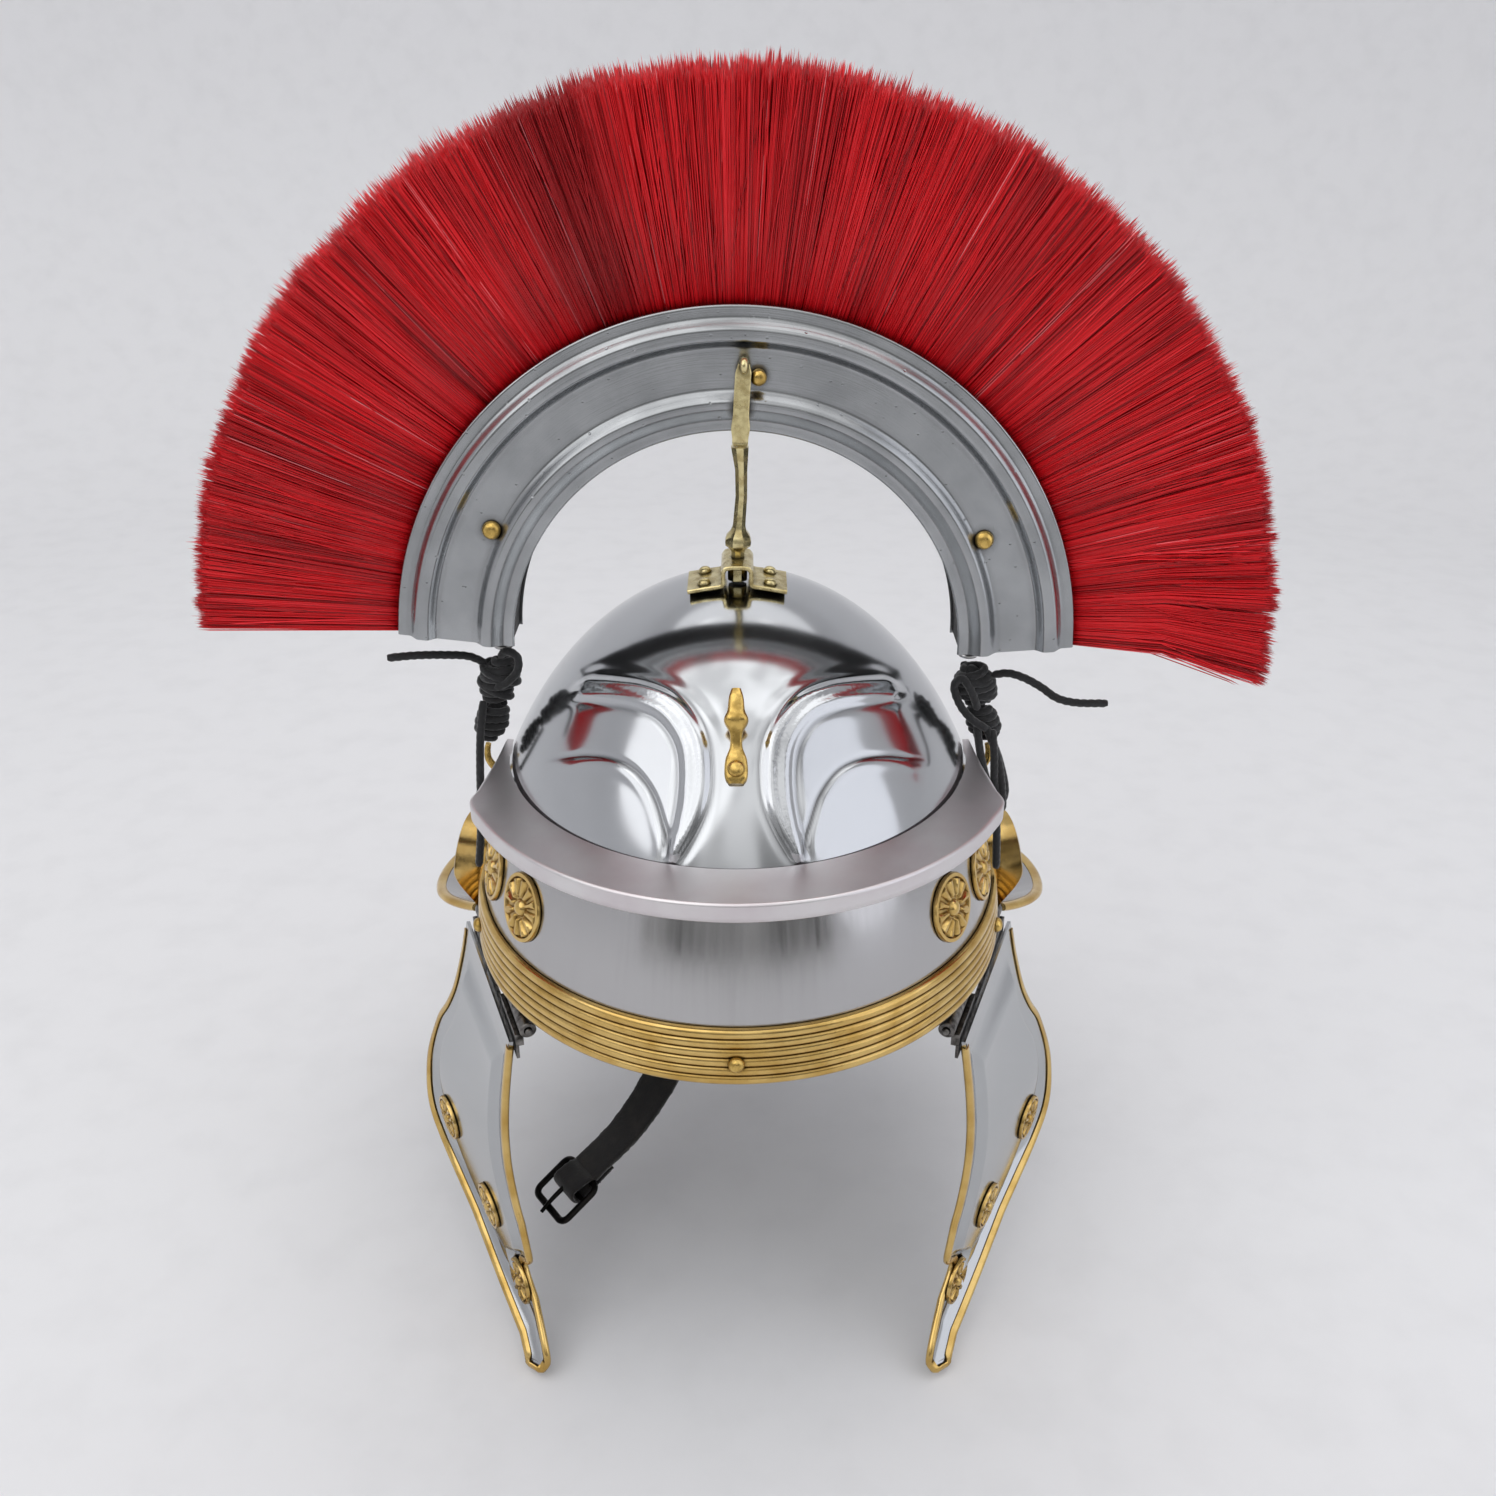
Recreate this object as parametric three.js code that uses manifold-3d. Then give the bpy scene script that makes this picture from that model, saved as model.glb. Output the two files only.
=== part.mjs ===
// Roman legionary helmet with a transverse bristle crest. Millimetres, +Z up, the wearer faces -Y.
// The origin is at the centre of the head opening, in the plane of the front rim.
import * as THREE from "three";
import { mergeVertices } from "three/addons/utils/BufferGeometryUtils.js";
import Module from "manifold-3d";

const wasm = await Module();
wasm.setup();

// Clearance kept between touching pieces
const fitGap = 0.3;

// Bowl
const bowlHalfWidth = 104;
const bowlHalfLength = 117;
const bowlHeight = 142.5;
const bowlCentreY = -7;
const bowlWall = 1.6;
const napeDepth = 42;
const neckGuardReach = 78;
const neckGuardDrop = 48;

// Embossed eyebrows
const eyebrowWidth = 5;
const eyebrowRaise = 1.8;
const eyebrowLowerWidth = 3;

// Ear openings and their brass guards
const earCentreY = 11;
const earHalfWidth = 21;
const earHeight = 25;
const earGuardReach = 13;
const earGuardFlare = 5;
const earGuardWall = 1.6;

// Brow guard
const browGuardHeight = 74;
const browGuardWidth = 23;
const browGuardWall = 1.8;
const browGuardLip = 5;

// Brass rim and neck edging
const rimTrimHeight = 22;
const rimTrimWall = 1.4;
const rimTrimRib = 0.9;
const rimTrimRibs = 4;
const rimTrimEndAngle = 87;
const neckTrimRadius = 2;
const neckTrimStartAngle = 110;

// Rosettes
const rosettePetals = 8;
const rosetteRaise = 2.6;
const browRosetteRadius = 13;
const cheekRosetteRadius = 10;
const browRosetteHeight = 41;
const browRosetteAngle = 48.5;
const earRosetteAngle = 66.5;

// Rivets
const rivetRadius = 3;
const rivetRaise = 2.4;
const rimRivetHeight = 9;
const rimRivetSideAngle = 73;

// Front and side hooks
const frontHookShare = 0.695;
const frontHookLength = 25;
const frontHookWidth = 8.4;
const sideHookHeight = 63;
const sideHookRadius = 1.5;
const sideHookReach = 6.5;
const sideHookRise = 9;

// Cheek guard hinges
const hingeRearX = 109;
const hingeRearY = 0;
const hingeFrontX = 78;
const hingeFrontY = -86;
const hingeDrop = 7;
const knuckleRadius = 3.2;
const knuckleCount = 3;
const pinRadius = 1.3;
const pinClearance = 0.35;
const leafWall = 1.2;
const leafDepth = 13;
const fixedLeafHeight = 13;

// Cheek guards
const cheekDepth = 156;
const cheekWidth = 91;
const cheekWall = 1.5;
const cheekTopOffset = 5;
const cheekBow = 4;
const cheekFlare = 16;
const cheekEdgeFlare = 7;
const cheekEmboss = 3;
const cheekTrimRadius = 1.7;

// Crest box and fork
const crestY = -9;
const crestHeight = 119.4;
const crestInnerRadius = 83.1;
const crestOuterRadius = 126.2;
const crestPlateWall = 1.3;
const crestRidge = 3.2;
const crestCoreThickness = 21;
const crestCoreInset = 7.2;
const crestEndRise = 4;
const crestLeanDegrees = 1.2;
const crestRivetAngle = 27;
const forkPostRadius = 2.6;
const forkWidth = 5.4;
const forkWall = 3.2;
const bracketHalfWidth = 18.4;
const bracketDepth = 22;
const bracketWall = 1.6;
const bracketArchHalfWidth = 6;
const bracketArchHeight = 9;
const eyeletRadius = 3;
const eyeletWire = 0.9;

// Bristle plume
const plumeRadius = 206;
const plumeLocks = 19;
const plumeLockDepth = 3;
const plumeTipThickness = 34;
const plumeSagLeft = 0.5;
const plumeSagRight = 5;

// Tie cords
const cordRadius = 1.5;
const knotRadius = 8.2;

// Chin strap
const strapWidth = 17;
const strapWall = 2.6;
const strapTurnShare = 0.2;
const buckleWidth = 27;
const buckleLength = 23;
const buckleWall = 2.6;
const buckleBar = 3.2;

// Facets round the bowl, the hinge knuckles and the crest
const bowlTurns = 40;
const domeSteps = 9;
const knuckleSides = 8;
const crestSteps = 18;

const degrees = Math.PI / 180;
const up = new THREE.Vector3(0, 0, 1);
const leftAndRight = [
  { name: "left", side: -1 },
  { name: "right", side: 1 },
];

// Finishes
const polishedSteel = { color: 0xc4c7ca, roughness: 0.16, metalness: 1 };
const brushedSteel = { color: 0xb4b7ba, roughness: 0.34, metalness: 1 };
const satinAlloy = { color: 0xc6c1c6, roughness: 0.4, metalness: 1 };
const polishedBrass = { color: 0xc8963c, roughness: 0.24, metalness: 1 };
const castBrass = { color: 0x9c7a3a, roughness: 0.45, metalness: 1 };
const darkSteel = { color: 0x3c3a38, roughness: 0.5, metalness: 0.8 };
const blackWood = { color: 0x121212, roughness: 0.75, metalness: 0 };
const redBristle = { color: 0xb3121c, roughness: 0.55, metalness: 0 };
const blackCord = { color: 0x0d0d0f, roughness: 0.8, metalness: 0 };
const blackLeather = { color: 0x161413, roughness: 0.7, metalness: 0 };

// Builds one closed geometry from points and triangles: equal points become one, triangles
// without area are dropped, and the faces are turned to point outwards.
function closedGeometry(points, faces) {
  const places = new Map();
  const positions = [];
  const indexOf = points.map((point) => {
    const key = point.toArray().map((value) => Math.round(value * 1e4)).join(",");
    if (!places.has(key)) {
      places.set(key, positions.length);
      positions.push(point);
    }
    return places.get(key);
  });
  let triangles = faces.map((face) => face.map((corner) => indexOf[corner]));
  triangles = triangles.filter(([a, b, c]) => a !== b && b !== c && c !== a);
  const volume = triangles.reduce((sum, [a, b, c]) => {
    const cross = new THREE.Vector3().crossVectors(positions[b], positions[c]);
    return sum + positions[a].dot(cross);
  }, 0);
  if (volume < 0) {
    triangles = triangles.map(([a, b, c]) => [a, c, b]);
  }
  const geometry = new THREE.BufferGeometry().setFromPoints(positions);
  geometry.setIndex(triangles.flat());
  geometry.computeVertexNormals();
  return geometry;
}

// Triangles that close a ring of points, wound in the ring's own order.
function capTriangles(ring) {
  const normal = new THREE.Vector3();
  ring.forEach((point, index) => {
    const next = ring[(index + 1) % ring.length];
    normal.x += (point.y - next.y) * (point.z + next.z);
    normal.y += (point.z - next.z) * (point.x + next.x);
    normal.z += (point.x - next.x) * (point.y + next.y);
  });
  normal.normalize();
  const helper = Math.abs(normal.z) < 0.9 ? up : new THREE.Vector3(1, 0, 0);
  const across = new THREE.Vector3().crossVectors(helper, normal).normalize();
  const along = new THREE.Vector3().crossVectors(normal, across);
  const flat = ring.map((point) => new THREE.Vector2(point.dot(across), point.dot(along)));
  return THREE.ShapeUtils.triangulateShape(flat, []).map(([a, b, c]) => {
    const area = THREE.ShapeUtils.area([flat[a], flat[b], flat[c]]);
    return area < 0 ? [a, c, b] : [a, b, c];
  });
}

// Skins a list of rings with the same number of points, as a closed loop or with capped ends. Quads
// whose corner is turned are split the other way, so that the two faces of a thin wall match.
function loft(rings, closed = false, isTurned = () => false) {
  const count = rings[0].length;
  const faces = [];
  const steps = closed ? rings.length : rings.length - 1;
  for (let ring = 0; ring < steps; ring += 1) {
    const next = (ring + 1) % rings.length;
    for (let corner = 0; corner < count; corner += 1) {
      const side = (corner + 1) % count;
      const a = ring * count + corner;
      const b = ring * count + side;
      const c = next * count + side;
      const d = next * count + corner;
      if (isTurned(corner)) {
        faces.push([a, b, d], [b, c, d]);
      } else {
        faces.push([a, b, c], [a, c, d]);
      }
    }
  }
  if (!closed) {
    const start = (rings.length - 1) * count;
    capTriangles(rings[0]).forEach(([a, b, c]) => faces.push([a, c, b]));
    capTriangles(rings[rings.length - 1]).forEach(([a, b, c]) => {
      faces.push([a + start, b + start, c + start]);
    });
  }
  return closedGeometry(rings.flat(), faces);
}

// A round bar along a curve, with its radius given for each share of the length.
function bar(curve, radiusAt, steps, sides) {
  const frames = curve.computeFrenetFrames(steps, false);
  const rings = [];
  for (let step = 0; step <= steps; step += 1) {
    const share = step / steps;
    const centre = curve.getPointAt(share);
    const ring = [];
    for (let corner = 0; corner < sides; corner += 1) {
      const turn = (corner / sides) * 2 * Math.PI;
      const offset = frames.normals[step].clone().multiplyScalar(Math.cos(turn));
      offset.addScaledVector(frames.binormals[step], Math.sin(turn));
      ring.push(centre.clone().addScaledVector(offset, radiusAt(share)));
    }
    rings.push(ring);
  }
  return loft(rings);
}

function curveThrough(points) {
  return new THREE.CatmullRomCurve3(points.map(([x, y, z]) => new THREE.Vector3(x, y, z)));
}

function solidOf(geometry) {
  const bare = geometry.clone();
  bare.deleteAttribute("normal");
  bare.deleteAttribute("uv");
  const merged = mergeVertices(bare, 1e-4);
  const mesh = new wasm.Mesh({
    numProp: 3,
    vertProperties: new Float32Array(merged.attributes.position.array),
    triVerts: new Uint32Array(merged.index.array),
  });
  return new wasm.Manifold(mesh);
}

function geometryOf(solid) {
  const mesh = solid.getMesh();
  const geometry = new THREE.BufferGeometry();
  geometry.setAttribute("position", new THREE.BufferAttribute(mesh.vertProperties, 3));
  geometry.setIndex(new THREE.BufferAttribute(mesh.triVerts, 1));
  geometry.computeVertexNormals();
  return geometry;
}

function joined(geometries) {
  const solids = geometries.map(solidOf);
  return geometryOf(solids.reduce((whole, solid) => whole.add(solid)));
}

function cut(geometry, cutters) {
  const solids = cutters.map(solidOf);
  return geometryOf(solids.reduce((whole, cutter) => whole.subtract(cutter), solidOf(geometry)));
}

function common(geometry, other) {
  return geometryOf(solidOf(geometry).intersect(solidOf(other)));
}

function box(low, high) {
  const geometry = new THREE.BoxGeometry(high[0] - low[0], high[1] - low[1], high[2] - low[2]);
  const middle = low.map((value, axis) => (value + high[axis]) / 2);
  return geometry.translate(...middle);
}

// Turns a geometry made along +Z so that +Z follows a normal, and moves it to a place.
function seated(geometry, place, normal) {
  const turn = new THREE.Quaternion().setFromUnitVectors(up, normal.clone().normalize());
  return geometry.clone().applyQuaternion(turn).translate(place.x, place.y, place.z);
}

// Reads one column of a table of rows sorted by their "at" column, with smooth steps between rows.
function tableValue(table, column, at) {
  if (at <= table[0].at) {
    return table[0][column];
  }
  const next = table.findIndex((row) => row.at >= at);
  if (next < 0) {
    return table[table.length - 1][column];
  }
  const low = table[next - 1];
  const high = table[next];
  const before = table[Math.max(next - 2, 0)];
  const after = table[Math.min(next + 1, table.length - 1)];
  const span = high.at - low.at;
  const share = (at - low.at) / span;
  const slopeLow = ((high[column] - before[column]) / (high.at - before.at)) * span;
  const slopeHigh = ((after[column] - low[column]) / (after.at - low.at)) * span;
  const square = share * share;
  const cube = square * share;
  return (
    low[column] * (2 * cube - 3 * square + 1) +
    slopeLow * (cube - 2 * square + share) +
    high[column] * (3 * square - 2 * cube) +
    slopeHigh * (cube - square)
  );
}

function smoothStep(value) {
  const share = Math.min(Math.max(value, 0), 1);
  return share * share * (3 - 2 * share);
}

// Radius of the bowl's outer face from its centre line, at an angle from the front in degrees.
function bowlRadius(angle, height, outset = 0) {
  const halfWidth = bowlHalfWidth + outset;
  const halfLength = bowlHalfLength + outset;
  const rise = Math.min(Math.max(height, 0) / (bowlHeight + outset), 1);
  const narrowing = Math.sqrt(1 - rise * rise);
  const sine = Math.sin(angle * degrees) / halfWidth;
  const cosine = Math.cos(angle * degrees) / halfLength;
  return narrowing / Math.hypot(sine, cosine);
}

function bowlPlace(angle, radius, height) {
  const x = radius * Math.sin(angle * degrees);
  const y = bowlCentreY - radius * Math.cos(angle * degrees);
  return new THREE.Vector3(x, y, height);
}

function bowlNormal(place) {
  const y = place.y - bowlCentreY;
  const z = Math.max(place.z, 0);
  const slope = [place.x / bowlHalfWidth ** 2, y / bowlHalfLength ** 2, z / bowlHeight ** 2];
  return new THREE.Vector3(...slope).normalize();
}

// A place on the bowl's outer face, lifted off it by an outset, with the face's normal.
function onBowl(angle, height, outset = 0) {
  const place = bowlPlace(angle, bowlRadius(angle, height), height);
  const normal = bowlNormal(place);
  return { place: place.addScaledVector(normal, outset), normal };
}

// Nape and neck guard, by angle from the front in degrees: the wall's depth as a share of
// napeDepth, the guard's reach as a share of neckGuardReach and its drop of neckGuardDrop.
const napeSections = [
  { at: 94, wall: 0, reach: 0, drop: 0 },
  { at: 100, wall: 0.2, reach: 0.0, drop: 0.18 },
  { at: 106, wall: 0.46, reach: 0.2, drop: 0.46 },
  { at: 112, wall: 0.68, reach: 0.5, drop: 0.64 },
  { at: 120, wall: 0.84, reach: 0.74, drop: 0.8 },
  { at: 130, wall: 0.95, reach: 0.93, drop: 0.9 },
  { at: 142, wall: 0.99, reach: 1, drop: 0.95 },
  { at: 155, wall: 1, reach: 0.89, drop: 0.98 },
  { at: 168, wall: 1, reach: 0.77, drop: 1 },
  { at: 180, wall: 1, reach: 0.72, drop: 1 },
];

function napeAt(angle) {
  const turn = Math.abs(angle > 180 ? angle - 360 : angle);
  const wall = Math.max(tableValue(napeSections, "wall", turn), 0) * napeDepth;
  const reach = Math.max(tableValue(napeSections, "reach", turn), 0) * neckGuardReach;
  const drop = Math.max(tableValue(napeSections, "drop", turn), 0) * neckGuardDrop;
  return { wall, reach, drop: Math.max(drop, wall) };
}

// Closed profile of the bowl's wall at one angle: down the outside and back up the inside.
function bowlProfile(angle) {
  const { wall, reach, drop } = napeAt(angle);
  const dome = (outset) => {
    const points = [];
    for (let step = 0; step <= domeSteps; step += 1) {
      const slope = (step / domeSteps) * 90 * degrees;
      const radius = bowlRadius(angle, 0, outset) * Math.sin(slope);
      points.push(bowlPlace(angle, radius, (bowlHeight + outset) * Math.cos(slope)));
    }
    return points;
  };
  const outer = dome(0);
  const inner = dome(-bowlWall).reverse();
  const outside = bowlRadius(angle, 0);
  const inside = bowlRadius(angle, 0, -bowlWall);
  const turned = bowlWall * smoothStep(reach / 12);
  outer.push(bowlPlace(angle, outside, -wall));
  outer.push(bowlPlace(angle, outside + reach, -drop));
  inner.unshift(bowlPlace(angle, inside, -wall - turned));
  inner.unshift(bowlPlace(angle, outside + reach, -drop - turned));
  return [...outer, ...inner];
}

// An elliptical prism through one side wall, in the shape of the ear opening.
function earCutter(side) {
  const depth = earHeight + napeDepth / 4;
  const shape = new THREE.Shape();
  shape.absellipse(0, 0, earHalfWidth, depth, 0, 2 * Math.PI, false, 0);
  const length = bowlHalfWidth / 5;
  const options = { depth: length, bevelEnabled: false, curveSegments: 9 };
  const cutter = new THREE.ExtrudeGeometry(shape, options);
  cutter.rotateX(Math.PI / 2).rotateZ(Math.PI / 2);
  const start = side > 0 ? bowlHalfWidth - length / 2 : -bowlHalfWidth - length / 2;
  return cutter.translate(start, earCentreY, earHeight - depth);
}

// The eyebrow's centre lines on the right half: angle from the front, and height as a share of bowlHeight.
const eyebrowRidge = [
  { angle: 68, height: 0.765 },
  { angle: 56, height: 0.795 },
  { angle: 44, height: 0.818 },
  { angle: 32, height: 0.83 },
  { angle: 22, height: 0.824 },
  { angle: 15.5, height: 0.8 },
  { angle: 11.6, height: 0.765 },
  { angle: 9.9, height: 0.715 },
  { angle: 9.7, height: 0.66 },
  { angle: 10.8, height: 0.605 },
  { angle: 12.4, height: 0.555 },
];
const eyebrowStep = [
  { angle: 49, height: 0.655 },
  { angle: 41, height: 0.685 },
  { angle: 33, height: 0.7 },
  { angle: 26, height: 0.694 },
  { angle: 20, height: 0.66 },
  { angle: 16.5, height: 0.61 },
  { angle: 14, height: 0.56 },
];

// A raised rib that follows a line on the bowl, sunk into the wall so that it joins it.
function bowlRib(line, side, width, raise) {
  const sink = bowlWall * 0.6;
  const centres = line.map(({ angle, height }) => onBowl(angle * side, height * bowlHeight));
  const rings = centres.map(({ place, normal }, index) => {
    const before = centres[Math.max(index - 1, 0)].place;
    const after = centres[Math.min(index + 1, centres.length - 1)].place;
    const along = after.clone().sub(before).normalize();
    const across = new THREE.Vector3().crossVectors(along, normal).normalize();
    const section = [
      [-0.5, -sink],
      [-0.5, 0],
      [-0.18, raise],
      [0.18, raise],
      [0.5, 0],
      [0.5, -sink],
    ];
    return section.map(([share, lift]) => {
      return place.clone().addScaledVector(across, share * width).addScaledVector(normal, lift);
    });
  });
  return loft(rings);
}

function makeBowl() {
  const rings = [];
  for (let turn = 0; turn < bowlTurns; turn += 1) {
    rings.push(bowlProfile((turn / bowlTurns) * 360));
  }
  const shell = cut(loft(rings, true), [earCutter(-1), earCutter(1)]);
  const ribs = leftAndRight.flatMap(({ side }) => [
    bowlRib(eyebrowRidge, side, eyebrowWidth, eyebrowRaise),
    bowlRib(eyebrowStep, side, eyebrowLowerWidth, eyebrowRaise / 2),
  ]);
  return joined([shell, ...ribs]);
}

// Brow guard: its projection from the bowl by angle, as a share of browGuardWidth.
const browGuardSections = [
  { at: 0, width: 1 },
  { at: 20, width: 0.98 },
  { at: 40, width: 0.92 },
  { at: 55, width: 0.86 },
  { at: 62, width: 0.83 },
  { at: 66, width: 0.62 },
  { at: 74, width: 0.34 },
  { at: 82, width: 0.17 },
  { at: 90, width: 0.09 },
];

function makeBrowGuard() {
  const angles = [0, 12, 24, 36, 47, 56, 61, 63, 66, 73, 82, 90];
  const sweep = [...angles.slice(1).reverse().map((angle) => -angle), ...angles];
  const top = browGuardHeight + browGuardWall;
  const rings = sweep.map((angle) => {
    const width = tableValue(browGuardSections, "width", Math.abs(angle)) * browGuardWidth;
    const inner = bowlRadius(angle, browGuardHeight) + fitGap * 2;
    const outer = inner + width;
    const lip = browGuardLip * smoothStep(width / browGuardWidth / 0.6);
    const lipWall = Math.min(browGuardWall, width / 2);
    const section = [
      [inner, browGuardHeight],
      [inner, top],
      [outer - lipWall / 2, top],
      [outer, top - lipWall / 2],
      [outer, browGuardHeight - lip],
      [outer - lipWall, browGuardHeight - lip],
      [outer - lipWall, browGuardHeight],
    ];
    return section.map(([radius, height]) => bowlPlace(angle, radius, height));
  });
  return loft(rings);
}

// Ribbed brass band round the front rim, from one hinge to the other.
function makeRimTrim() {
  const steps = 22;
  const rings = [];
  for (let step = 0; step <= steps; step += 1) {
    const angle = rimTrimEndAngle * ((2 * step) / steps - 1);
    const ring = [];
    const addPoint = (height, outset) => {
      ring.push(bowlPlace(angle, bowlRadius(angle, height, outset), height));
    };
    addPoint(0, fitGap);
    addPoint(rimTrimHeight, fitGap);
    for (let rib = 0; rib < rimTrimRibs; rib += 1) {
      const high = rimTrimHeight * (1 - rib / rimTrimRibs);
      const low = rimTrimHeight * (1 - (rib + 1) / rimTrimRibs);
      addPoint(high, fitGap + rimTrimWall);
      addPoint((high + low) / 2, fitGap + rimTrimWall + rimTrimRib);
    }
    addPoint(0, fitGap + rimTrimWall);
    rings.push(ring);
  }
  return loft(rings);
}

// Rolled edging laid against an edge: a bar with five sides outside a line of places, each with the
// normal of its sheet. The turn is 1 or -1, for the side of the line that it lies on.
function edging(spots, radius, turn) {
  const outwardOf = (from, to, normal) => {
    const travel = to.clone().sub(from);
    return new THREE.Vector3().crossVectors(travel, normal).normalize().multiplyScalar(turn);
  };
  const rings = spots.map((spot, index) => {
    const before = spots[Math.max(index - 1, 0)];
    const after = spots[Math.min(index + 1, spots.length - 1)];
    const start = index > 0 ? before : spot;
    const end = index < spots.length - 1 ? spot : before;
    const first = outwardOf(start.place, index > 0 ? spot.place : after.place, spot.normal);
    const second = outwardOf(end.place, index < spots.length - 1 ? after.place : spot.place, spot.normal);
    const outward = first.clone().add(second).normalize();
    outward.multiplyScalar(1 / Math.max(outward.dot(first), 0.7));
    const centre = spot.place.clone().addScaledVector(outward, radius + fitGap * 1.3);
    const ring = [];
    for (let corner = 0; corner < 5; corner += 1) {
      const angle = (corner / 5) * 2 * Math.PI;
      const point = centre.clone().addScaledVector(outward, radius * Math.cos(angle));
      ring.push(point.addScaledVector(spot.normal, radius * Math.sin(angle)));
    }
    return ring;
  });
  return loft(rings);
}

// Brass edging that follows the outer edge of the neck guard, ring for ring of the bowl.
function makeNeckTrim() {
  const firstTurn = Math.ceil((neckTrimStartAngle / 360) * bowlTurns);
  const spots = [];
  for (let turn = firstTurn; turn <= bowlTurns - firstTurn; turn += 1) {
    const angle = (turn / bowlTurns) * 360;
    const { reach, drop } = napeAt(angle);
    const place = bowlPlace(angle, bowlRadius(angle, 0) + reach, -drop - bowlWall / 2);
    spots.push({ place, normal: up });
  }
  return edging(spots, neckTrimRadius, 1);
}

// Brass flange that stands out round the top of one ear opening.
function makeEarGuard(side) {
  const steps = 12;
  const rings = [];
  for (let step = 0; step <= steps; step += 1) {
    const turn = Math.PI * (0.04 + (0.92 * step) / steps);
    const section = [
      [0, 0],
      [1, 1],
      [1, 1 + earGuardWall / earGuardFlare],
      [0, earGuardWall / earGuardFlare],
    ];
    rings.push(
      section.map(([outward, flare]) => {
        const grown = flare * earGuardFlare + fitGap;
        const y = earCentreY - (earHalfWidth + grown) * Math.cos(turn);
        const z = (earHeight + grown) * Math.sin(turn);
        const share = Math.min(z / bowlHeight, 1);
        const reachY = (y - bowlCentreY) / bowlHalfLength;
        const wallX = bowlHalfWidth * Math.sqrt(1 - share * share - reachY * reachY);
        return new THREE.Vector3(side * (wallX + 2 * fitGap + outward * earGuardReach), y, z);
      })
    );
  }
  return loft(rings);
}

// A pressed rosette: scalloped petals round a domed boss, with its flat back at the origin.
function makeRosette(radius) {
  const corners = rosettePetals * 2;
  const rows = [
    { radius: 1, height: 0, scallop: 1 },
    { radius: 0.96, height: 0.4, scallop: 1 },
    { radius: 0.5, height: 0.5, scallop: 0 },
    { radius: 0.28, height: 0.85, scallop: 0 },
  ];
  const points = [];
  const faces = [];
  rows.forEach((row) => {
    for (let corner = 0; corner < corners; corner += 1) {
      const turn = (corner / corners) * 2 * Math.PI;
      const valley = corner % 2 === 1 ? 0.1 * row.scallop : 0;
      const reach = radius * (row.radius - valley);
      const height = rosetteRaise * row.height * (1 - 2 * valley);
      points.push(new THREE.Vector3(reach * Math.cos(turn), reach * Math.sin(turn), height));
    }
  });
  const backCentre = points.push(new THREE.Vector3(0, 0, 0)) - 1;
  const bossTop = points.push(new THREE.Vector3(0, 0, rosetteRaise)) - 1;
  for (let corner = 0; corner < corners; corner += 1) {
    const next = (corner + 1) % corners;
    faces.push([backCentre, next, corner]);
    for (let row = 0; row < rows.length - 1; row += 1) {
      const low = row * corners;
      const high = low + corners;
      faces.push([low + corner, low + next, high + next], [low + corner, high + next, high + corner]);
    }
    const last = (rows.length - 1) * corners;
    faces.push([bossTop, last + corner, last + next]);
  }
  return closedGeometry(points, faces);
}

// A domed rivet head with its flat back at the origin.
function makeRivet(radius = rivetRadius, raise = rivetRaise) {
  const profile = [
    new THREE.Vector2(0, 0),
    new THREE.Vector2(radius, 0),
    new THREE.Vector2(radius * 0.75, raise * 0.7),
    new THREE.Vector2(0, raise),
  ];
  return closedLathe(profile, 7);
}

function closedLathe(profile, sides) {
  const lathe = new THREE.LatheGeometry(profile, sides);
  lathe.rotateX(Math.PI / 2);
  const position = lathe.attributes.position;
  const points = [];
  for (let index = 0; index < position.count; index += 1) {
    points.push(new THREE.Vector3().fromBufferAttribute(position, index));
  }
  const faces = [];
  for (let index = 0; index < lathe.index.count; index += 3) {
    faces.push([lathe.index.getX(index), lathe.index.getX(index + 1), lathe.index.getX(index + 2)]);
  }
  return closedGeometry(points, faces);
}

// Front hook: a cast strip on the brow with a riveted foot, a collar and a curled top.
// Along its length, as a share of frontHookLength: half width and thickness as shares of frontHookWidth,
// and how far its back stands off the bowl.
const frontHookSections = [
  { at: 0, width: 0.3, thickness: 0.3, lift: 0 },
  { at: 0.08, width: 0.46, thickness: 0.4, lift: 0 },
  { at: 0.3, width: 0.44, thickness: 0.42, lift: 0 },
  { at: 0.45, width: 0.26, thickness: 0.42, lift: 0.06 },
  { at: 0.6, width: 0.28, thickness: 0.5, lift: 0.3 },
  { at: 0.7, width: 0.5, thickness: 0.7, lift: 0.42 },
  { at: 0.8, width: 0.36, thickness: 0.55, lift: 0.6 },
  { at: 0.92, width: 0.3, thickness: 0.45, lift: 0.85 },
  { at: 1, width: 0.2, thickness: 0.3, lift: 0.98 },
];

function makeFrontHook() {
  const hookFoot = frontHookShare * bowlHeight;
  const rings = frontHookSections.map((section) => {
    const { place, normal } = onBowl(0, hookFoot + section.at * frontHookLength, fitGap);
    const halfWidth = section.width * frontHookWidth;
    const back = section.lift * frontHookWidth;
    const face = back + section.thickness * frontHookWidth;
    const outline = [
      [-0.8, back],
      [-1, (back + face) / 2],
      [-0.6, face],
      [0.6, face],
      [1, (back + face) / 2],
      [0.8, back],
    ];
    return outline.map(([share, lift]) => {
      return place.clone().add(new THREE.Vector3(share * halfWidth, 0, 0)).addScaledVector(normal, lift);
    });
  });
  const foot = frontHookSections[2];
  const footFace = fitGap + foot.thickness * frontHookWidth * 0.8;
  const seat = onBowl(0, hookFoot + 0.18 * frontHookLength, footFace);
  return joined([loft(rings), seated(makeRivet(rivetRadius, rivetRaise), seat.place, seat.normal)]);
}

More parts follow.
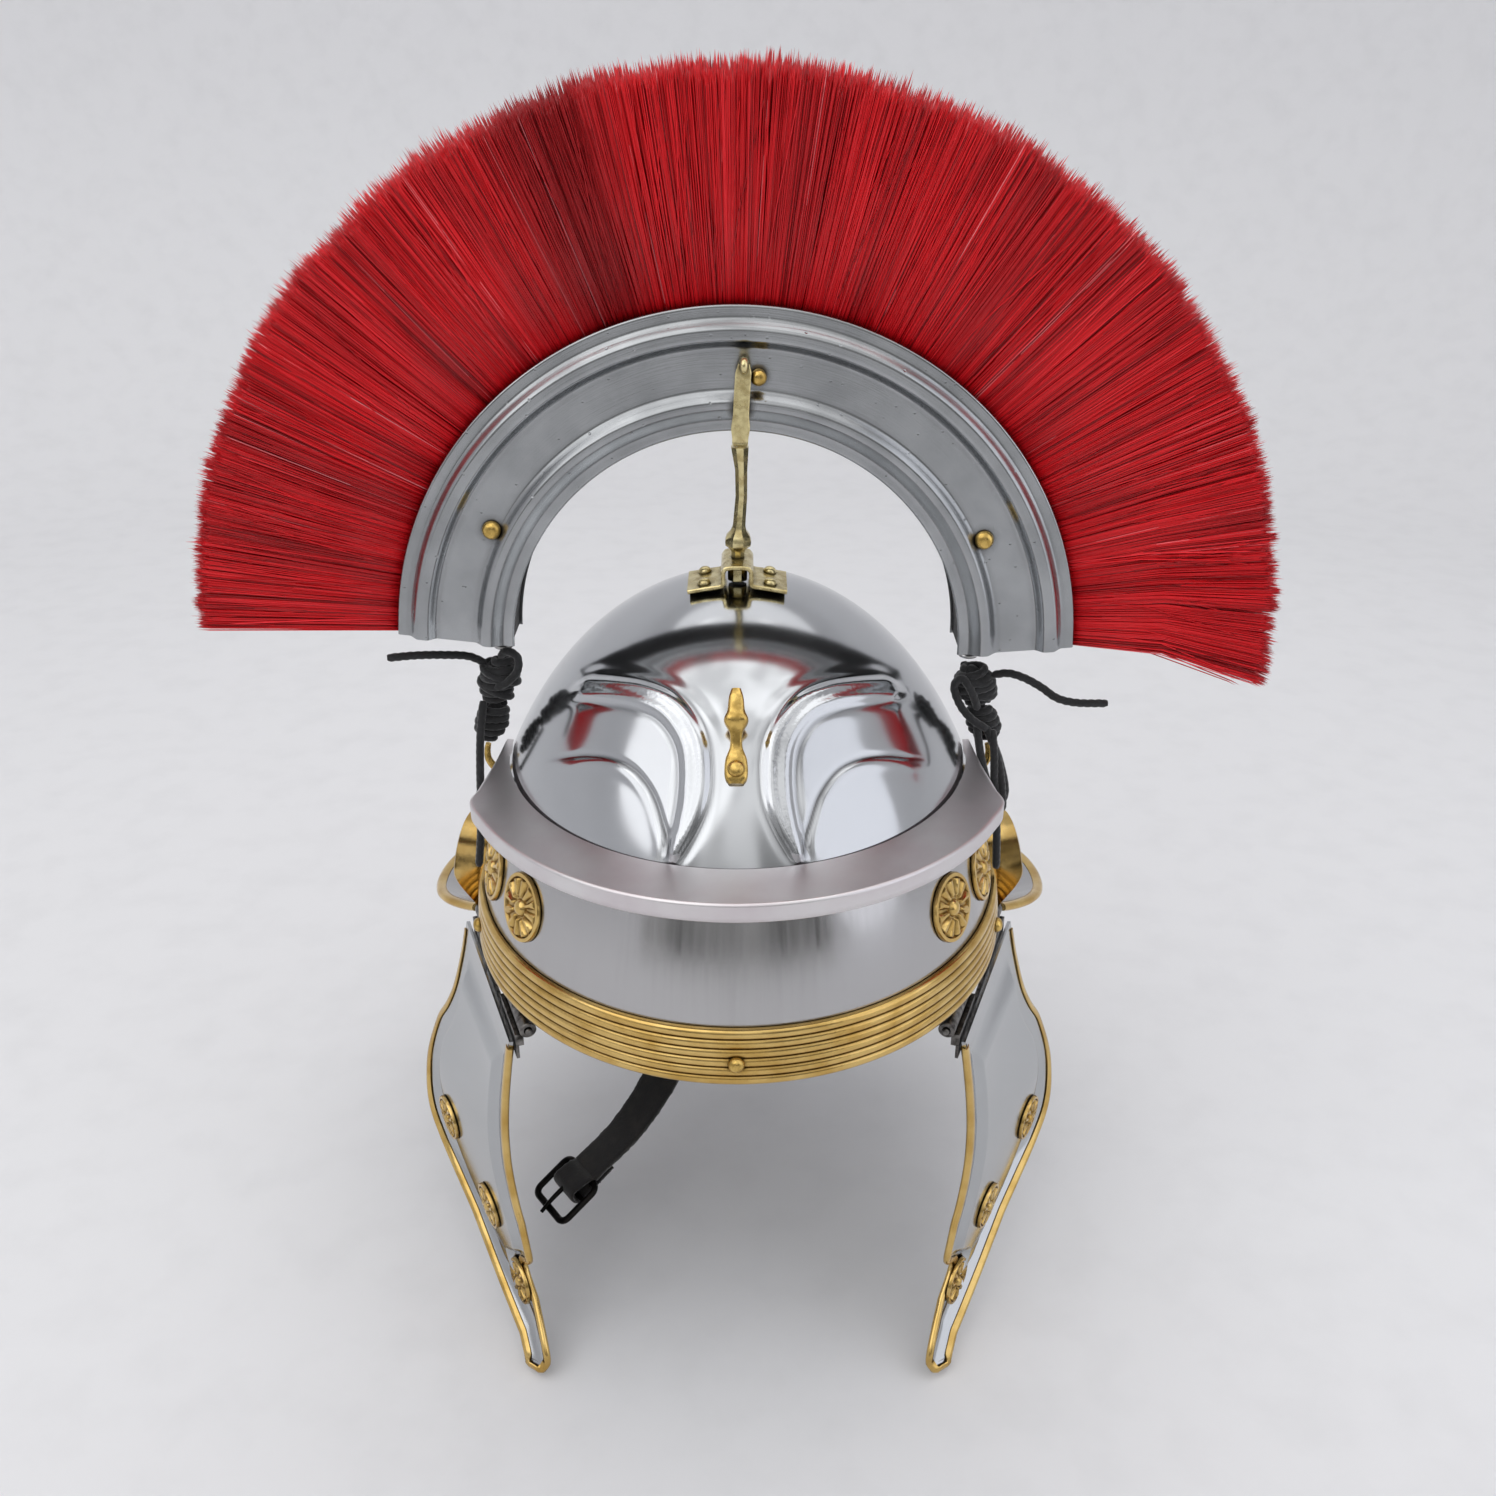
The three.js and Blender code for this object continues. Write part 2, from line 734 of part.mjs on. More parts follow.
// Side hook: a bent brass wire with a round foot, for the crest's tie cord.
function makeSideHook(side) {
  const angle = 90;
  const { place, normal } = onBowl(side * angle, sideHookHeight, fitGap);
  const outward = (distance, rise) => {
    const point = place.clone().addScaledVector(normal, distance);
    return [point.x, point.y, point.z + rise];
  };
  const route = curveThrough([
    outward(0.4, 0),
    outward(sideHookReach * 0.5, -1),
    outward(sideHookReach * 0.95, sideHookRise * 0.2),
    outward(sideHookReach, sideHookRise * 0.6),
    outward(sideHookReach * 0.9, sideHookRise),
  ]);
  const wire = bar(route, (share) => sideHookRadius * (1.15 - 0.4 * share), 6, 5);
  return joined([wire, seated(makeRivet(rivetRadius, 1.2), place, normal)]);
}

// Cheek guards. A place on one is given by "along", the distance from the rear end of the hinge
// line towards its front end, and "down", the distance below the hinge line.
const hingeSpan = Math.hypot(hingeRearX - hingeFrontX, hingeRearY - hingeFrontY);

function hingeFrame(side) {
  const rear = new THREE.Vector3(side * hingeRearX, hingeRearY, -hingeDrop);
  const front = new THREE.Vector3(side * hingeFrontX, hingeFrontY, -hingeDrop);
  const along = front.clone().sub(rear).normalize();
  const outward = new THREE.Vector3(-along.y * side, along.x * side, 0);
  return { rear, along, outward };
}

// Outline of the cheek guard by depth below the hinge, as a share of cheekDepth: its rear and
// front edges as shares of cheekWidth.
const cheekOutline = [
  { at: 0.012, rear: 0.0, front: 0.99 },
  { at: 0.06, rear: 0.01, front: 0.965 },
  { at: 0.12, rear: 0.035, front: 0.945 },
  { at: 0.21, rear: 0.062, front: 0.925 },
  { at: 0.27, rear: 0.04, front: 0.918 },
  { at: 0.33, rear: -0.012, front: 0.917 },
  { at: 0.43, rear: -0.035, front: 0.93 },
  { at: 0.54, rear: -0.012, front: 0.968 },
  { at: 0.62, rear: 0.045, front: 1.015 },
  { at: 0.69, rear: 0.15, front: 1.04 },
  { at: 0.725, rear: 0.23, front: 1.0 },
  { at: 0.765, rear: 0.35, front: 0.91 },
  { at: 0.8, rear: 0.46, front: 0.895 },
  { at: 0.85, rear: 0.61, front: 0.98 },
  { at: 0.9, rear: 0.76, front: 1.1 },
  { at: 0.95, rear: 0.93, front: 1.185 },
  { at: 1, rear: 1.12, front: 1.19 },
];

function cheekEdges(down) {
  const share = down / cheekDepth;
  return {
    rear: tableValue(cheekOutline, "rear", share) * cheekWidth,
    front: tableValue(cheekOutline, "front", share) * cheekWidth,
  };
}

// How far the cheek guard stands outside its hinge line, with its rear and lower edge flared.
function cheekOffset(along, down) {
  const fall = down / cheekDepth;
  const width = Math.min(along / cheekWidth, 1);
  const bow = cheekBow * Math.sin(Math.PI * Math.min(fall / 0.8, 1));
  const flare = cheekFlare * smoothStep(fall / 0.48) * (1 - width);
  const rim = Math.max(1 - (along - cheekEdges(down).rear) / (cheekWidth * 0.18), 0);
  const edge = cheekEdgeFlare * smoothStep((fall - 0.35) / 0.3) * rim * rim;
  return cheekTopOffset + bow + flare + edge;
}

// Raised middle panel of the cheek guard, set in from its edges.
function cheekLift(along, down) {
  const { rear, front } = cheekEdges(down);
  const inset = cheekWidth * 0.13;
  const ease = cheekWidth * 0.07;
  const rearRise = smoothStep((along - rear - inset) / ease);
  const frontRise = smoothStep((front - along - inset / 2) / ease);
  const topRise = smoothStep((down - cheekDepth * 0.1) / ease);
  const bottomRise = smoothStep((cheekDepth * 0.86 - down) / ease);
  return cheekEmboss * Math.min(rearRise, frontRise, topRise, bottomRise);
}

function cheekPlace(side, along, down, lift = 0) {
  const frame = hingeFrame(side);
  const spot = (alongAt, downAt) => {
    const place = frame.rear.clone().addScaledVector(frame.along, alongAt);
    place.addScaledVector(frame.outward, cheekOffset(alongAt, downAt));
    place.z -= downAt;
    return place;
  };
  const place = spot(along, down);
  const alongStep = spot(along + 1, down).sub(place);
  const downStep = spot(along, down + 1).sub(place);
  const normal = new THREE.Vector3().crossVectors(alongStep, downStep).normalize();
  if (normal.dot(frame.outward) < 0) {
    normal.negate();
  }
  return { place: place.addScaledVector(normal, lift), normal };
}

// Where the plate is drawn: shares of its depth, closer round the notch, and of its width.
const cheekRows = [
  0.012, 0.06, 0.12, 0.18, 0.24, 0.3, 0.38, 0.46, 0.54, 0.62, 0.69, 0.725, 0.765, 0.8, 0.85, 0.9, 0.95, 1,
];
const cheekColumns = [0, 0.1, 0.2, 0.3, 0.7, 0.84, 0.92, 1];

function makeCheekPlate(side) {
  const rings = cheekRows.map((row) => {
    const down = row * cheekDepth;
    const { rear, front } = cheekEdges(down);
    const alongAt = (share) => rear + (front - rear) * share;
    const face = cheekColumns.map((share) => {
      const along = alongAt(share);
      return cheekPlace(side, along, down, cheekWall + cheekLift(along, down)).place;
    });
    const back = cheekColumns.map((share) => {
      const along = alongAt(share);
      return cheekPlace(side, along, down, cheekLift(along, down)).place;
    });
    return [...face, ...back.reverse()];
  });
  return loft(rings, false, (corner) => corner >= cheekColumns.length);
}

// Brass edging down the rear edge, round the tip and up the front edge.
function makeCheekTrim(side) {
  const rows = cheekRows.slice(1);
  const edge = rows.map((row) => ({ down: row * cheekDepth, key: "rear" }));
  edge.push(...rows.slice().reverse().map((row) => ({ down: row * cheekDepth, key: "front" })));
  const spots = edge.map(({ down, key }) => cheekPlace(side, cheekEdges(down)[key], down, cheekWall / 2));
  return edging(spots, cheekTrimRadius, -side);
}

// Rosettes down each cheek guard, as shares of cheekWidth and cheekDepth.
const cheekRosettes = [
  { name: "upper", along: 0.24, down: 0.56 },
  { name: "middle", along: 0.68, down: 0.67 },
  { name: "lower", along: 0.88, down: 0.85 },
];

// The seat of a flat-backed round piece: raised along its normal until it clears the plate's facets.
function seatOn(plate, seat, radius) {
  const mesh = new THREE.Mesh(plate, new THREE.MeshBasicMaterial({ side: THREE.DoubleSide }));
  const across = new THREE.Vector3().crossVectors(up, seat.normal).normalize();
  const along = new THREE.Vector3().crossVectors(seat.normal, across);
  const caster = new THREE.Raycaster();
  const corners = 36;
  let rise = 0;
  [0.3, 0.65, 1].forEach((share) => {
    for (let corner = 0; corner < corners; corner += 1) {
      const turn = (corner / corners) * 2 * Math.PI;
      const start = seat.place.clone().addScaledVector(seat.normal, radius);
      start.addScaledVector(across, share * radius * Math.cos(turn));
      start.addScaledVector(along, share * radius * Math.sin(turn));
      caster.set(start, seat.normal.clone().negate());
      const [hit] = caster.intersectObject(mesh);
      rise = Math.max(rise, hit ? radius - hit.distance : 0);
    }
  });
  return { place: seat.place.clone().addScaledVector(seat.normal, rise + fitGap), normal: seat.normal };
}

// A tube or pin along part of the hinge line, given as shares of its span.
function hingeBar(side, from, to, radius, sides) {
  const { rear, along } = hingeFrame(side);
  const length = (to - from) * hingeSpan;
  const rod = new THREE.CylinderGeometry(radius, radius, length, sides);
  rod.rotateX(Math.PI / 2);
  return seated(rod, rear.clone().addScaledVector(along, ((from + to) / 2) * hingeSpan), along);
}

// A block on the hinge line: shares of its span along it, and distances outward and up from the axis.
function hingeBlock(side, from, to, low, high) {
  const { rear, along, outward } = hingeFrame(side);
  const block = box([from * hingeSpan, low[0], low[1]], [to * hingeSpan, high[0], high[1]]);
  const basis = new THREE.Matrix4().makeBasis(along, outward, up);
  if (basis.determinant() < 0) {
    const mirrored = box([from * hingeSpan, -high[0], low[1]], [to * hingeSpan, -low[0], high[1]]);
    basis.makeBasis(along, outward.clone().negate(), up);
    return mirrored.applyMatrix4(basis).translate(rear.x, rear.y, rear.z);
  }
  return block.applyMatrix4(basis).translate(rear.x, rear.y, rear.z);
}

function knuckleSpan(index) {
  const gapShare = fitGap / hingeSpan / 2;
  return [index / knuckleCount + gapShare, (index + 1) / knuckleCount - gapShare];
}

function knuckles(parity) {
  const indexes = Array.from({ length: knuckleCount }, (unused, index) => index);
  return indexes.filter((index) => index % 2 === parity);
}

// The half of the hinge that swings: the outer knuckles and a leaf behind the cheek guard.
function makeSwingingLeaf(side) {
  const inner = knuckleRadius + fitGap;
  const outer = inner + leafWall;
  const pieces = [hingeBlock(side, 0.02, 0.98, [inner, -leafDepth], [outer, -knuckleRadius - 1])];
  knuckles(0).forEach((index) => {
    const [from, to] = knuckleSpan(index);
    const start = Math.max(from, 0.02);
    const end = Math.min(to, 0.98);
    pieces.push(hingeBar(side, from, to, knuckleRadius, knuckleSides));
    pieces.push(hingeBlock(side, start, end, [0, -knuckleRadius - 2], [outer, 0]));
  });
  return cut(joined(pieces), [hingeBar(side, -0.1, 1.1, pinRadius + pinClearance, 6)]);
}

// The fixed half: the inner knuckles, under one leaf that follows the inside of the bowl's wall.
function makeFixedLeaf(side) {
  const layer = cut(bowlCavity(fitGap), [bowlCavity(fitGap + leafWall)]);
  const inner = knuckles(1);
  const [leafStart] = knuckleSpan(inner[0]);
  const [, leafEnd] = knuckleSpan(inner[inner.length - 1]);
  const leafTop = hingeDrop + fixedLeafHeight;
  const leafBlock = hingeBlock(side, leafStart, leafEnd, [-9, hingeDrop + 0.5], [16, leafTop]);
  const pieces = inner.flatMap((index) => {
    const [from, to] = knuckleSpan(index);
    const post = hingeBlock(side, from, to, [-1, 0], [knuckleRadius, hingeDrop + 3]);
    const link = common(bowlCavity(fitGap), post);
    const stem = hingeBlock(side, from, to, [-1, 0], [knuckleRadius - 0.6, hingeDrop - 0.1]);
    return [link, stem, hingeBar(side, from, to, knuckleRadius, knuckleSides)];
  });
  const leaf = joined([common(layer, leafBlock), ...pieces]);
  return cut(leaf, [hingeBar(side, -0.1, 1.1, pinRadius + pinClearance, 6)]);
}

// The space inside the bowl's wall, down to the rim, drawn in by an inset.
function bowlCavity(inset) {
  const outset = -bowlWall - inset;
  const rows = 9;
  const floor = -1;
  const profile = [new THREE.Vector2(0, floor), new THREE.Vector2(1, floor)];
  for (let row = 0; row <= rows; row += 1) {
    const slope = (row / rows) * 90 * degrees;
    profile.push(new THREE.Vector2(Math.cos(slope), (bowlHeight + outset) * Math.sin(slope)));
  }
  const dome = closedLathe(profile, bowlTurns);
  return dome.scale(bowlHalfWidth + outset, bowlHalfLength + outset, 1).translate(0, bowlCentreY, 0);
}

// Crest: the radii of what stands on its plates, from shares of their width.
const crestWidth = crestOuterRadius - crestInnerRadius;
const crestCoreOuterRadius = crestOuterRadius - crestCoreInset;
const crestRivetRadius = crestInnerRadius + 0.39 * crestWidth;
const forkBoltHeight = crestHeight + crestInnerRadius + 0.45 * crestWidth;
const forkTop = crestHeight + crestInnerRadius + 0.57 * crestWidth;

// Places on the crest are given by radius and angle from the right-hand end, round its own centre.
function crestPlace(radius, angle, y) {
  const x = radius * Math.cos(angle);
  return new THREE.Vector3(x, crestY + y, crestHeight + radius * Math.sin(angle));
}

// An arc of the crest from end to end, whose ends rise towards the outside.
function crestArc(section, steps, endTrim = 0) {
  const rings = [];
  for (let step = 0; step <= steps; step += 1) {
    rings.push(
      section.map(([radius, y]) => {
        const outerShare = (radius - crestInnerRadius) / crestWidth;
        const start = Math.asin((crestEndRise * outerShare + endTrim) / radius);
        return crestPlace(radius, start + ((Math.PI - 2 * start) * step) / steps, y);
      })
    );
  }
  return loft(rings);
}

// Relief of the crest plate from its outer edge inwards: share of its width, and share of crestRidge.
const crestRelief = [
  { at: 0, raise: 0 },
  { at: 0.12, raise: 0 },
  { at: 0.19, raise: 1 },
  { at: 0.26, raise: 1 },
  { at: 0.33, raise: 0 },
  { at: 0.68, raise: 0 },
  { at: 0.765, raise: 1 },
  { at: 0.85, raise: 0 },
  { at: 1, raise: 0 },
];

function makeCrestPlate(facing) {
  const backFace = crestCoreThickness / 2 + fitGap;
  const face = crestRelief.map(({ at, raise }) => {
    return [crestOuterRadius - at * crestWidth, facing * (backFace + crestPlateWall + raise * crestRidge)];
  });
  const section = [...face, [crestInnerRadius, facing * backFace], [crestOuterRadius, facing * backFace]];
  return crestArc(section, crestSteps);
}

function makeCrestCore() {
  const half = crestCoreThickness / 2;
  const inner = crestInnerRadius + 1;
  const section = [
    [inner, -half],
    [crestCoreOuterRadius, -half],
    [crestCoreOuterRadius, half],
    [inner, half],
  ];
  return crestArc(section, crestSteps, 0.6);
}

// Plume section from its root to its tips: share of the bristle length and of plumeTipThickness.
const plumeSections = [
  { at: 0, thickness: 0.52 },
  { at: 0.12, thickness: 0.54 },
  { at: 0.5, thickness: 0.8 },
  { at: 0.97, thickness: 1 },
];

function makePlume() {
  const root = crestCoreOuterRadius + fitGap;
  const length = plumeRadius - root;
  const steps = plumeLocks * 2;
  const rings = [];
  for (let step = 0; step <= steps; step += 1) {
    const share = step / steps;
    const valley = step % 2 === 0 ? 1 : 0;
    const sagDegrees = share < 0.5 ? plumeSagRight : plumeSagLeft;
    const spread = Math.abs(1 - 2 * share) ** 6;
    const toSide = share < 0.5 ? -1 : 1;
    const spot = (at, y) => {
      const radius = root + at * (length - valley * plumeLockDepth * at);
      const start = Math.asin(crestEndRise / crestOuterRadius) + 0.005;
      const sag = toSide * sagDegrees * degrees * spread * at * at;
      return crestPlace(radius, start + (Math.PI - 2 * start) * share + sag, y);
    };
    const halfAt = ({ at, thickness }) => (thickness * plumeTipThickness * (1 - 0.1 * valley * at)) / 2;
    const front = plumeSections.map((section) => spot(section.at, -halfAt(section)));
    const back = plumeSections.map((section) => spot(section.at, halfAt(section))).reverse();
    rings.push([...front, spot(1, 0), ...back]);
  }
  return loft(rings);
}

// Omega-shaped strap on the crown, with a rivet at each corner and a hole for the fork's foot.
function makeBracket() {
  const dip = (x) => bowlHeight * (1 - Math.sqrt(1 - (x / bowlHalfWidth) ** 2));
  const seat = bowlHeight + fitGap + 0.4;
  const endSeat = seat - dip(bracketHalfWidth) + 0.3;
  const archTop = seat + bracketArchHeight;
  const inner = bracketArchHalfWidth - bracketWall;
  const outline = [
    [-bracketHalfWidth, endSeat],
    [-inner, seat],
    [-inner, archTop - bracketWall],
    [inner, archTop - bracketWall],
    [inner, seat],
    [bracketHalfWidth, endSeat],
    [bracketHalfWidth, endSeat + bracketWall],
    [bracketArchHalfWidth, seat + bracketWall],
    [bracketArchHalfWidth, archTop - 1.5],
    [bracketArchHalfWidth - 1.5, archTop],
    [1.5 - bracketArchHalfWidth, archTop],
    [-bracketArchHalfWidth, archTop - 1.5],
    [-bracketArchHalfWidth, seat + bracketWall],
    [-bracketHalfWidth, endSeat + bracketWall],
  ];
  const shape = new THREE.Shape(outline.map(([x, z]) => new THREE.Vector2(x, z)));
  const strap = new THREE.ExtrudeGeometry(shape, { depth: bracketDepth, bevelEnabled: false });
  strap.rotateX(Math.PI / 2).translate(0, crestY + bracketDepth / 2, 0);
  const rivetX = (bracketArchHalfWidth + bracketHalfWidth) * 0.5;
  const rivetZ = (seat + endSeat) / 2 + bracketWall - 0.2;
  const rivets = [-1, 1].flatMap((sideX) => {
    return [-1, 1].map((sideY) => {
      const place = new THREE.Vector3(sideX * rivetX, crestY + sideY * bracketDepth * 0.3, rivetZ);
      return seated(makeRivet(2.2, 1.9), place, up);
    });
  });
  const hole = new THREE.CylinderGeometry(forkPostRadius + 0.6, forkPostRadius + 0.6, 3 * bracketWall, 12);
  hole.rotateX(Math.PI / 2).translate(0, crestY, archTop - bracketWall / 2);
  return cut(joined([strap, ...rivets]), [hole]);
}

// Fork: a post with a collar, a yoke under the crest box and a tine up each face, bolted through.
function makeFork() {
  const seat = bowlHeight + fitGap + 0.4;
  const archTop = seat + bracketArchHeight;
  const yokeTop = crestHeight + crestInnerRadius - fitGap - 0.7;
  const yokeBottom = yokeTop - forkWall * 1.6;
  const faceY = crestCoreThickness / 2 + fitGap + crestPlateWall + crestRidge + fitGap;
  const turned = [
    new THREE.Vector2(0, 0),
    new THREE.Vector2(forkPostRadius * 1.5, 0),
    new THREE.Vector2(forkPostRadius * 1.5, bracketArchHeight - bracketWall - 1.4),
    new THREE.Vector2(forkPostRadius, bracketArchHeight - bracketWall - 1.2),
    new THREE.Vector2(forkPostRadius, bracketArchHeight + 2),
    new THREE.Vector2(forkPostRadius * 1.9, bracketArchHeight + 4.5),
    new THREE.Vector2(forkPostRadius * 1.7, bracketArchHeight + 8),
    new THREE.Vector2(forkPostRadius, bracketArchHeight + 10),
    new THREE.Vector2(forkPostRadius * 0.85, (yokeBottom - seat) * 0.6),
    new THREE.Vector2(forkPostRadius * 1.1, yokeBottom - seat + 1),
    new THREE.Vector2(0, yokeBottom - seat + 1),
  ];
  const post = closedLathe(turned, 8);
  post.translate(0, crestY, seat + 0.3);
  const half = forkWidth / 2;
  const farY = faceY + forkWall;
  const yoke = box([-half, crestY - farY, yokeBottom], [half, crestY + farY, yokeTop]);
  const tines = [-1, 1].map((facing) => {
    const near = crestY + facing * faceY;
    const far = crestY + facing * (faceY + forkWall);
    const low = Math.min(near, far);
    const high = Math.max(near, far);
    return box([-half, low, yokeBottom], [half, high, forkTop]);
  });
  const collar = box(
    [-half * 1.25, crestY - faceY - forkWall * 1.2, yokeTop - 1],
    [half * 1.25, crestY - faceY + 0.02, yokeTop + 2.5]
  );
  const curl = new THREE.CylinderGeometry(forkWall * 0.75, forkWall * 0.75, forkWidth * 1.05, 10);
  curl.rotateZ(Math.PI / 2).translate(0, crestY - faceY - forkWall * 0.6, forkTop);
  return joined([post, yoke, ...tines, collar, curl]);
}

function makeForkBolt(facing) {
  const faceY = crestCoreThickness / 2 + fitGap + crestPlateWall + fitGap;
  const offset = forkWidth / 2 + rivetRadius + fitGap;
  const place = new THREE.Vector3(offset, crestY + facing * faceY, forkBoltHeight);
  const bolt = makeRivet(rivetRadius, rivetRaise + crestRidge * 0.6);
  return seated(bolt, place, new THREE.Vector3(0, facing, 0));
}

function makeCrestRivet(side, facing) {
  const faceY = crestCoreThickness / 2 + fitGap + crestPlateWall + fitGap;
  const angle = side > 0 ? crestRivetAngle * degrees : Math.PI - crestRivetAngle * degrees;
  const place = crestPlace(crestRivetRadius, angle, facing * faceY);
  return seated(makeRivet(rivetRadius * 1.1, rivetRaise), place, new THREE.Vector3(0, facing, 0));
}

// Steel eyelet under each end of the crest box, where the tie cord is knotted.
const eyeletX = crestInnerRadius + eyeletRadius + 3;
const eyeletZ = crestHeight - eyeletRadius - eyeletWire - fitGap;

function makeEyelet(side) {
  const ring = new THREE.TorusGeometry(eyeletRadius, eyeletWire, 5, 8);
  ring.rotateX(Math.PI / 2);
  return ring.translate(side * eyeletX, crestY, eyeletZ);
}

// Tie cords: hand-chosen routes of the free ends. The knots are lumps round each side hook.
const cordRoutes = {
  cord_left_tail: [
    [-98.6, -12.4, 95],
    [-99.8, -17, 84],
    [-100.6, -20, 70],
    [-101.4, -20.6, 55],
    [-102.6, -20.8, 40],
    [-104.4, -20.6, 26],
  ],
  cord_left_loop: [
    [-97.4, -9, 109.6],
    [-103, -10, 112.6],
    [-112, -12, 114],
    [-123, -14, 114.6],
    [-133, -16, 114.4],
  ],
  cord_right_end: [
    [98.3, -10.4, 105],
    [104, -11, 106],
    [110, -12, 104.6],
    [117, -13, 101],
    [123, -14, 97],
    [130, -14, 95],
    [143, -14, 94.6],
  ],
  cord_right_tail: [
    [99.5, -13.1, 83],
    [100.4, -16, 74],
    [101.2, -17, 62],
    [102.6, -18.4, 50],
    [103.6, -19, 38],
    [104.4, -19, 24],
  ],
};

function makeCord(name) {
  const route = curveThrough(cordRoutes[name]);
  const section = new THREE.Shape().absarc(0, 0, cordRadius, 0, 2 * Math.PI);
  const steps = Math.round(route.getLength() / (cordRadius * 6));
  const options = { extrudePath: route, steps, curveSegments: 4, bevelEnabled: false };
  return new THREE.ExtrudeGeometry(section, options);
}

// The bound turns of a tie cord, between the eyelet and the side hook.
function makeKnot(side) {
  const rows = [
    { at: 0, radius: 0.3 },
    { at: 0.1, radius: 0.72 },
    { at: 0.3, radius: 0.86 },
    { at: 0.48, radius: 0.6 },
    { at: 0.68, radius: 1 },
    { at: 0.88, radius: 0.84 },
    { at: 1, radius: 0.4 },
  ];
  const low = new THREE.Vector3(side * 99, -6, 75);
  const lean = side * eyeletX * Math.sin(crestLeanDegrees * degrees);
  const top = eyeletZ - eyeletRadius - eyeletWire - lean - fitGap;
  const high = new THREE.Vector3(side * (eyeletX + 1), crestY, top);
  const rings = rows.map(({ at, radius }) => {
    const centre = low.clone().lerp(high, at);
    const ring = [];
    for (let corner = 0; corner < 9; corner += 1) {
      const turn = (corner / 9) * 2 * Math.PI;
      const reach = knotRadius * radius;
      const offset = new THREE.Vector3(reach * Math.cos(turn), reach * 0.8 * Math.sin(turn), 0);
      ring.push(centre.clone().add(offset));
    }
    return ring;
  });
  return loft(rings);
}

// Chin strap: hand-chosen route down the inside of the nape, then forward and down to the buckle.
const strapRoute = [
  [-1, 105.8, -6],
  [-1.3, 105.8, -16],
  [-1.8, 105.2, -25],
  [-3, 101, -33],
  [-5, 92, -38.5],
  [-12, 62, -49],
  [-22, 28, -66],
  [-33, -8, -86],
  [-48, -28, -101],
  [-66, -41, -114],
];

// The strap's place and directions: it faces forward against the nape, then turns to face up.
function strapFrame(share) {
  const route = curveThrough(strapRoute);
  const place = route.getPointAt(share);
  const along = route.getTangentAt(share);
  const facing = new THREE.Vector3(0, -1, 0).lerp(up, smoothStep(share / strapTurnShare));
  const across = new THREE.Vector3().crossVectors(along, facing).normalize();
  const normal = new THREE.Vector3().crossVectors(across, along).normalize();
  return { place, along, across, normal };
}

function makeStrap() {
  const steps = 16;
  const rings = [];
  for (let step = 0; step <= steps; step += 1) {
    const { place, across, normal } = strapFrame(step / steps);
    const corners = [
      [-0.5, -0.5],
      [0.5, -0.5],
      [0.5, 0.5],
      [-0.5, 0.5],
    ];
    rings.push(
      corners.map(([wide, thick]) => {
        const corner = place.clone().addScaledVector(across, wide * strapWidth);
        return corner.addScaledVector(normal, thick * strapWall);
      })
    );
  }
  return loft(rings);
}

// Places a geometry drawn flat at the end of the strap: X across it, Y along it, Z its normal.
function atStrapEnd(geometry) {
  const { place, along, across, normal } = strapFrame(1);
  const basis = new THREE.Matrix4().makeBasis(across, along, normal);
  if (basis.determinant() < 0) {
    basis.makeBasis(across.clone().negate(), along, normal);
  }
  return geometry.applyMatrix4(basis).translate(place.x, place.y, place.z);
}

function roundedRectangle(target, left, bottom, right, top, corner) {
  target.moveTo(left + corner, bottom);
  target.lineTo(right - corner, bottom);
  target.quadraticCurveTo(right, bottom, right, bottom + corner);
  target.lineTo(right, top - corner);
  target.quadraticCurveTo(right, top, right - corner, top);
  target.lineTo(left + corner, top);
  target.quadraticCurveTo(left, top, left, top - corner);
  target.lineTo(left, bottom + corner);
  target.quadraticCurveTo(left, bottom, left + corner, bottom);
  return target;
}

// Double-bar buckle frame with a window on each side of its middle bar, and its prong.
function makeBuckle() {
  const half = buckleWidth / 2;
  const start = fitGap;
  const end = start + buckleLength;
  const shape = roundedRectangle(new THREE.Shape(), -half, start, half, end, 4);
  const middle = start + buckleLength * 0.4;
  const windows = [
    [start + buckleBar, middle - buckleBar / 2],
    [middle + buckleBar / 2, end - buckleBar],
  ];
  windows.forEach(([low, high]) => {
    shape.holes.push(roundedRectangle(new THREE.Path(), buckleBar - half, low, half - buckleBar, high, 1));
  });
  const options = { depth: buckleWall, bevelEnabled: false, curveSegments: 2 };
  const frame = new THREE.ExtrudeGeometry(shape, options);
  frame.translate(0, 0, -buckleWall / 2);
  const prong = new THREE.CylinderGeometry(1, 1.2, end - middle + 6, 6);
  prong.translate(0, (middle + end + 6) / 2, buckleWall / 2 + 0.4);
  return atStrapEnd(joined([frame, prong]));
}

function makeStrapRivet() {
  const { place, normal } = strapFrame(0.045);
  return seated(makeRivet(), place.addScaledVector(normal, strapWall / 2 + 2 * fitGap), normal);
}

// Assembly
const helmet = new THREE.Group();
const crest = new THREE.Group();
crest.position.set(0, crestY, bowlHeight);
crest.rotation.y = crestLeanDegrees * degrees;
helmet.add(crest);

function addPiece(name, geometry, finish, group = helmet) {
  const mesh = new THREE.Mesh(geometry, new THREE.MeshStandardMaterial(finish));
  mesh.name = name;
  mesh.position.copy(group.position).negate();
  group.add(mesh);
}

addPiece("bowl", makeBowl(), polishedSteel);
addPiece("brow_guard", makeBrowGuard(), satinAlloy);
addPiece("rim_trim", makeRimTrim(), polishedBrass);
addPiece("neck_trim", makeNeckTrim(), polishedBrass);
addPiece("front_hook", makeFrontHook(), castBrass);

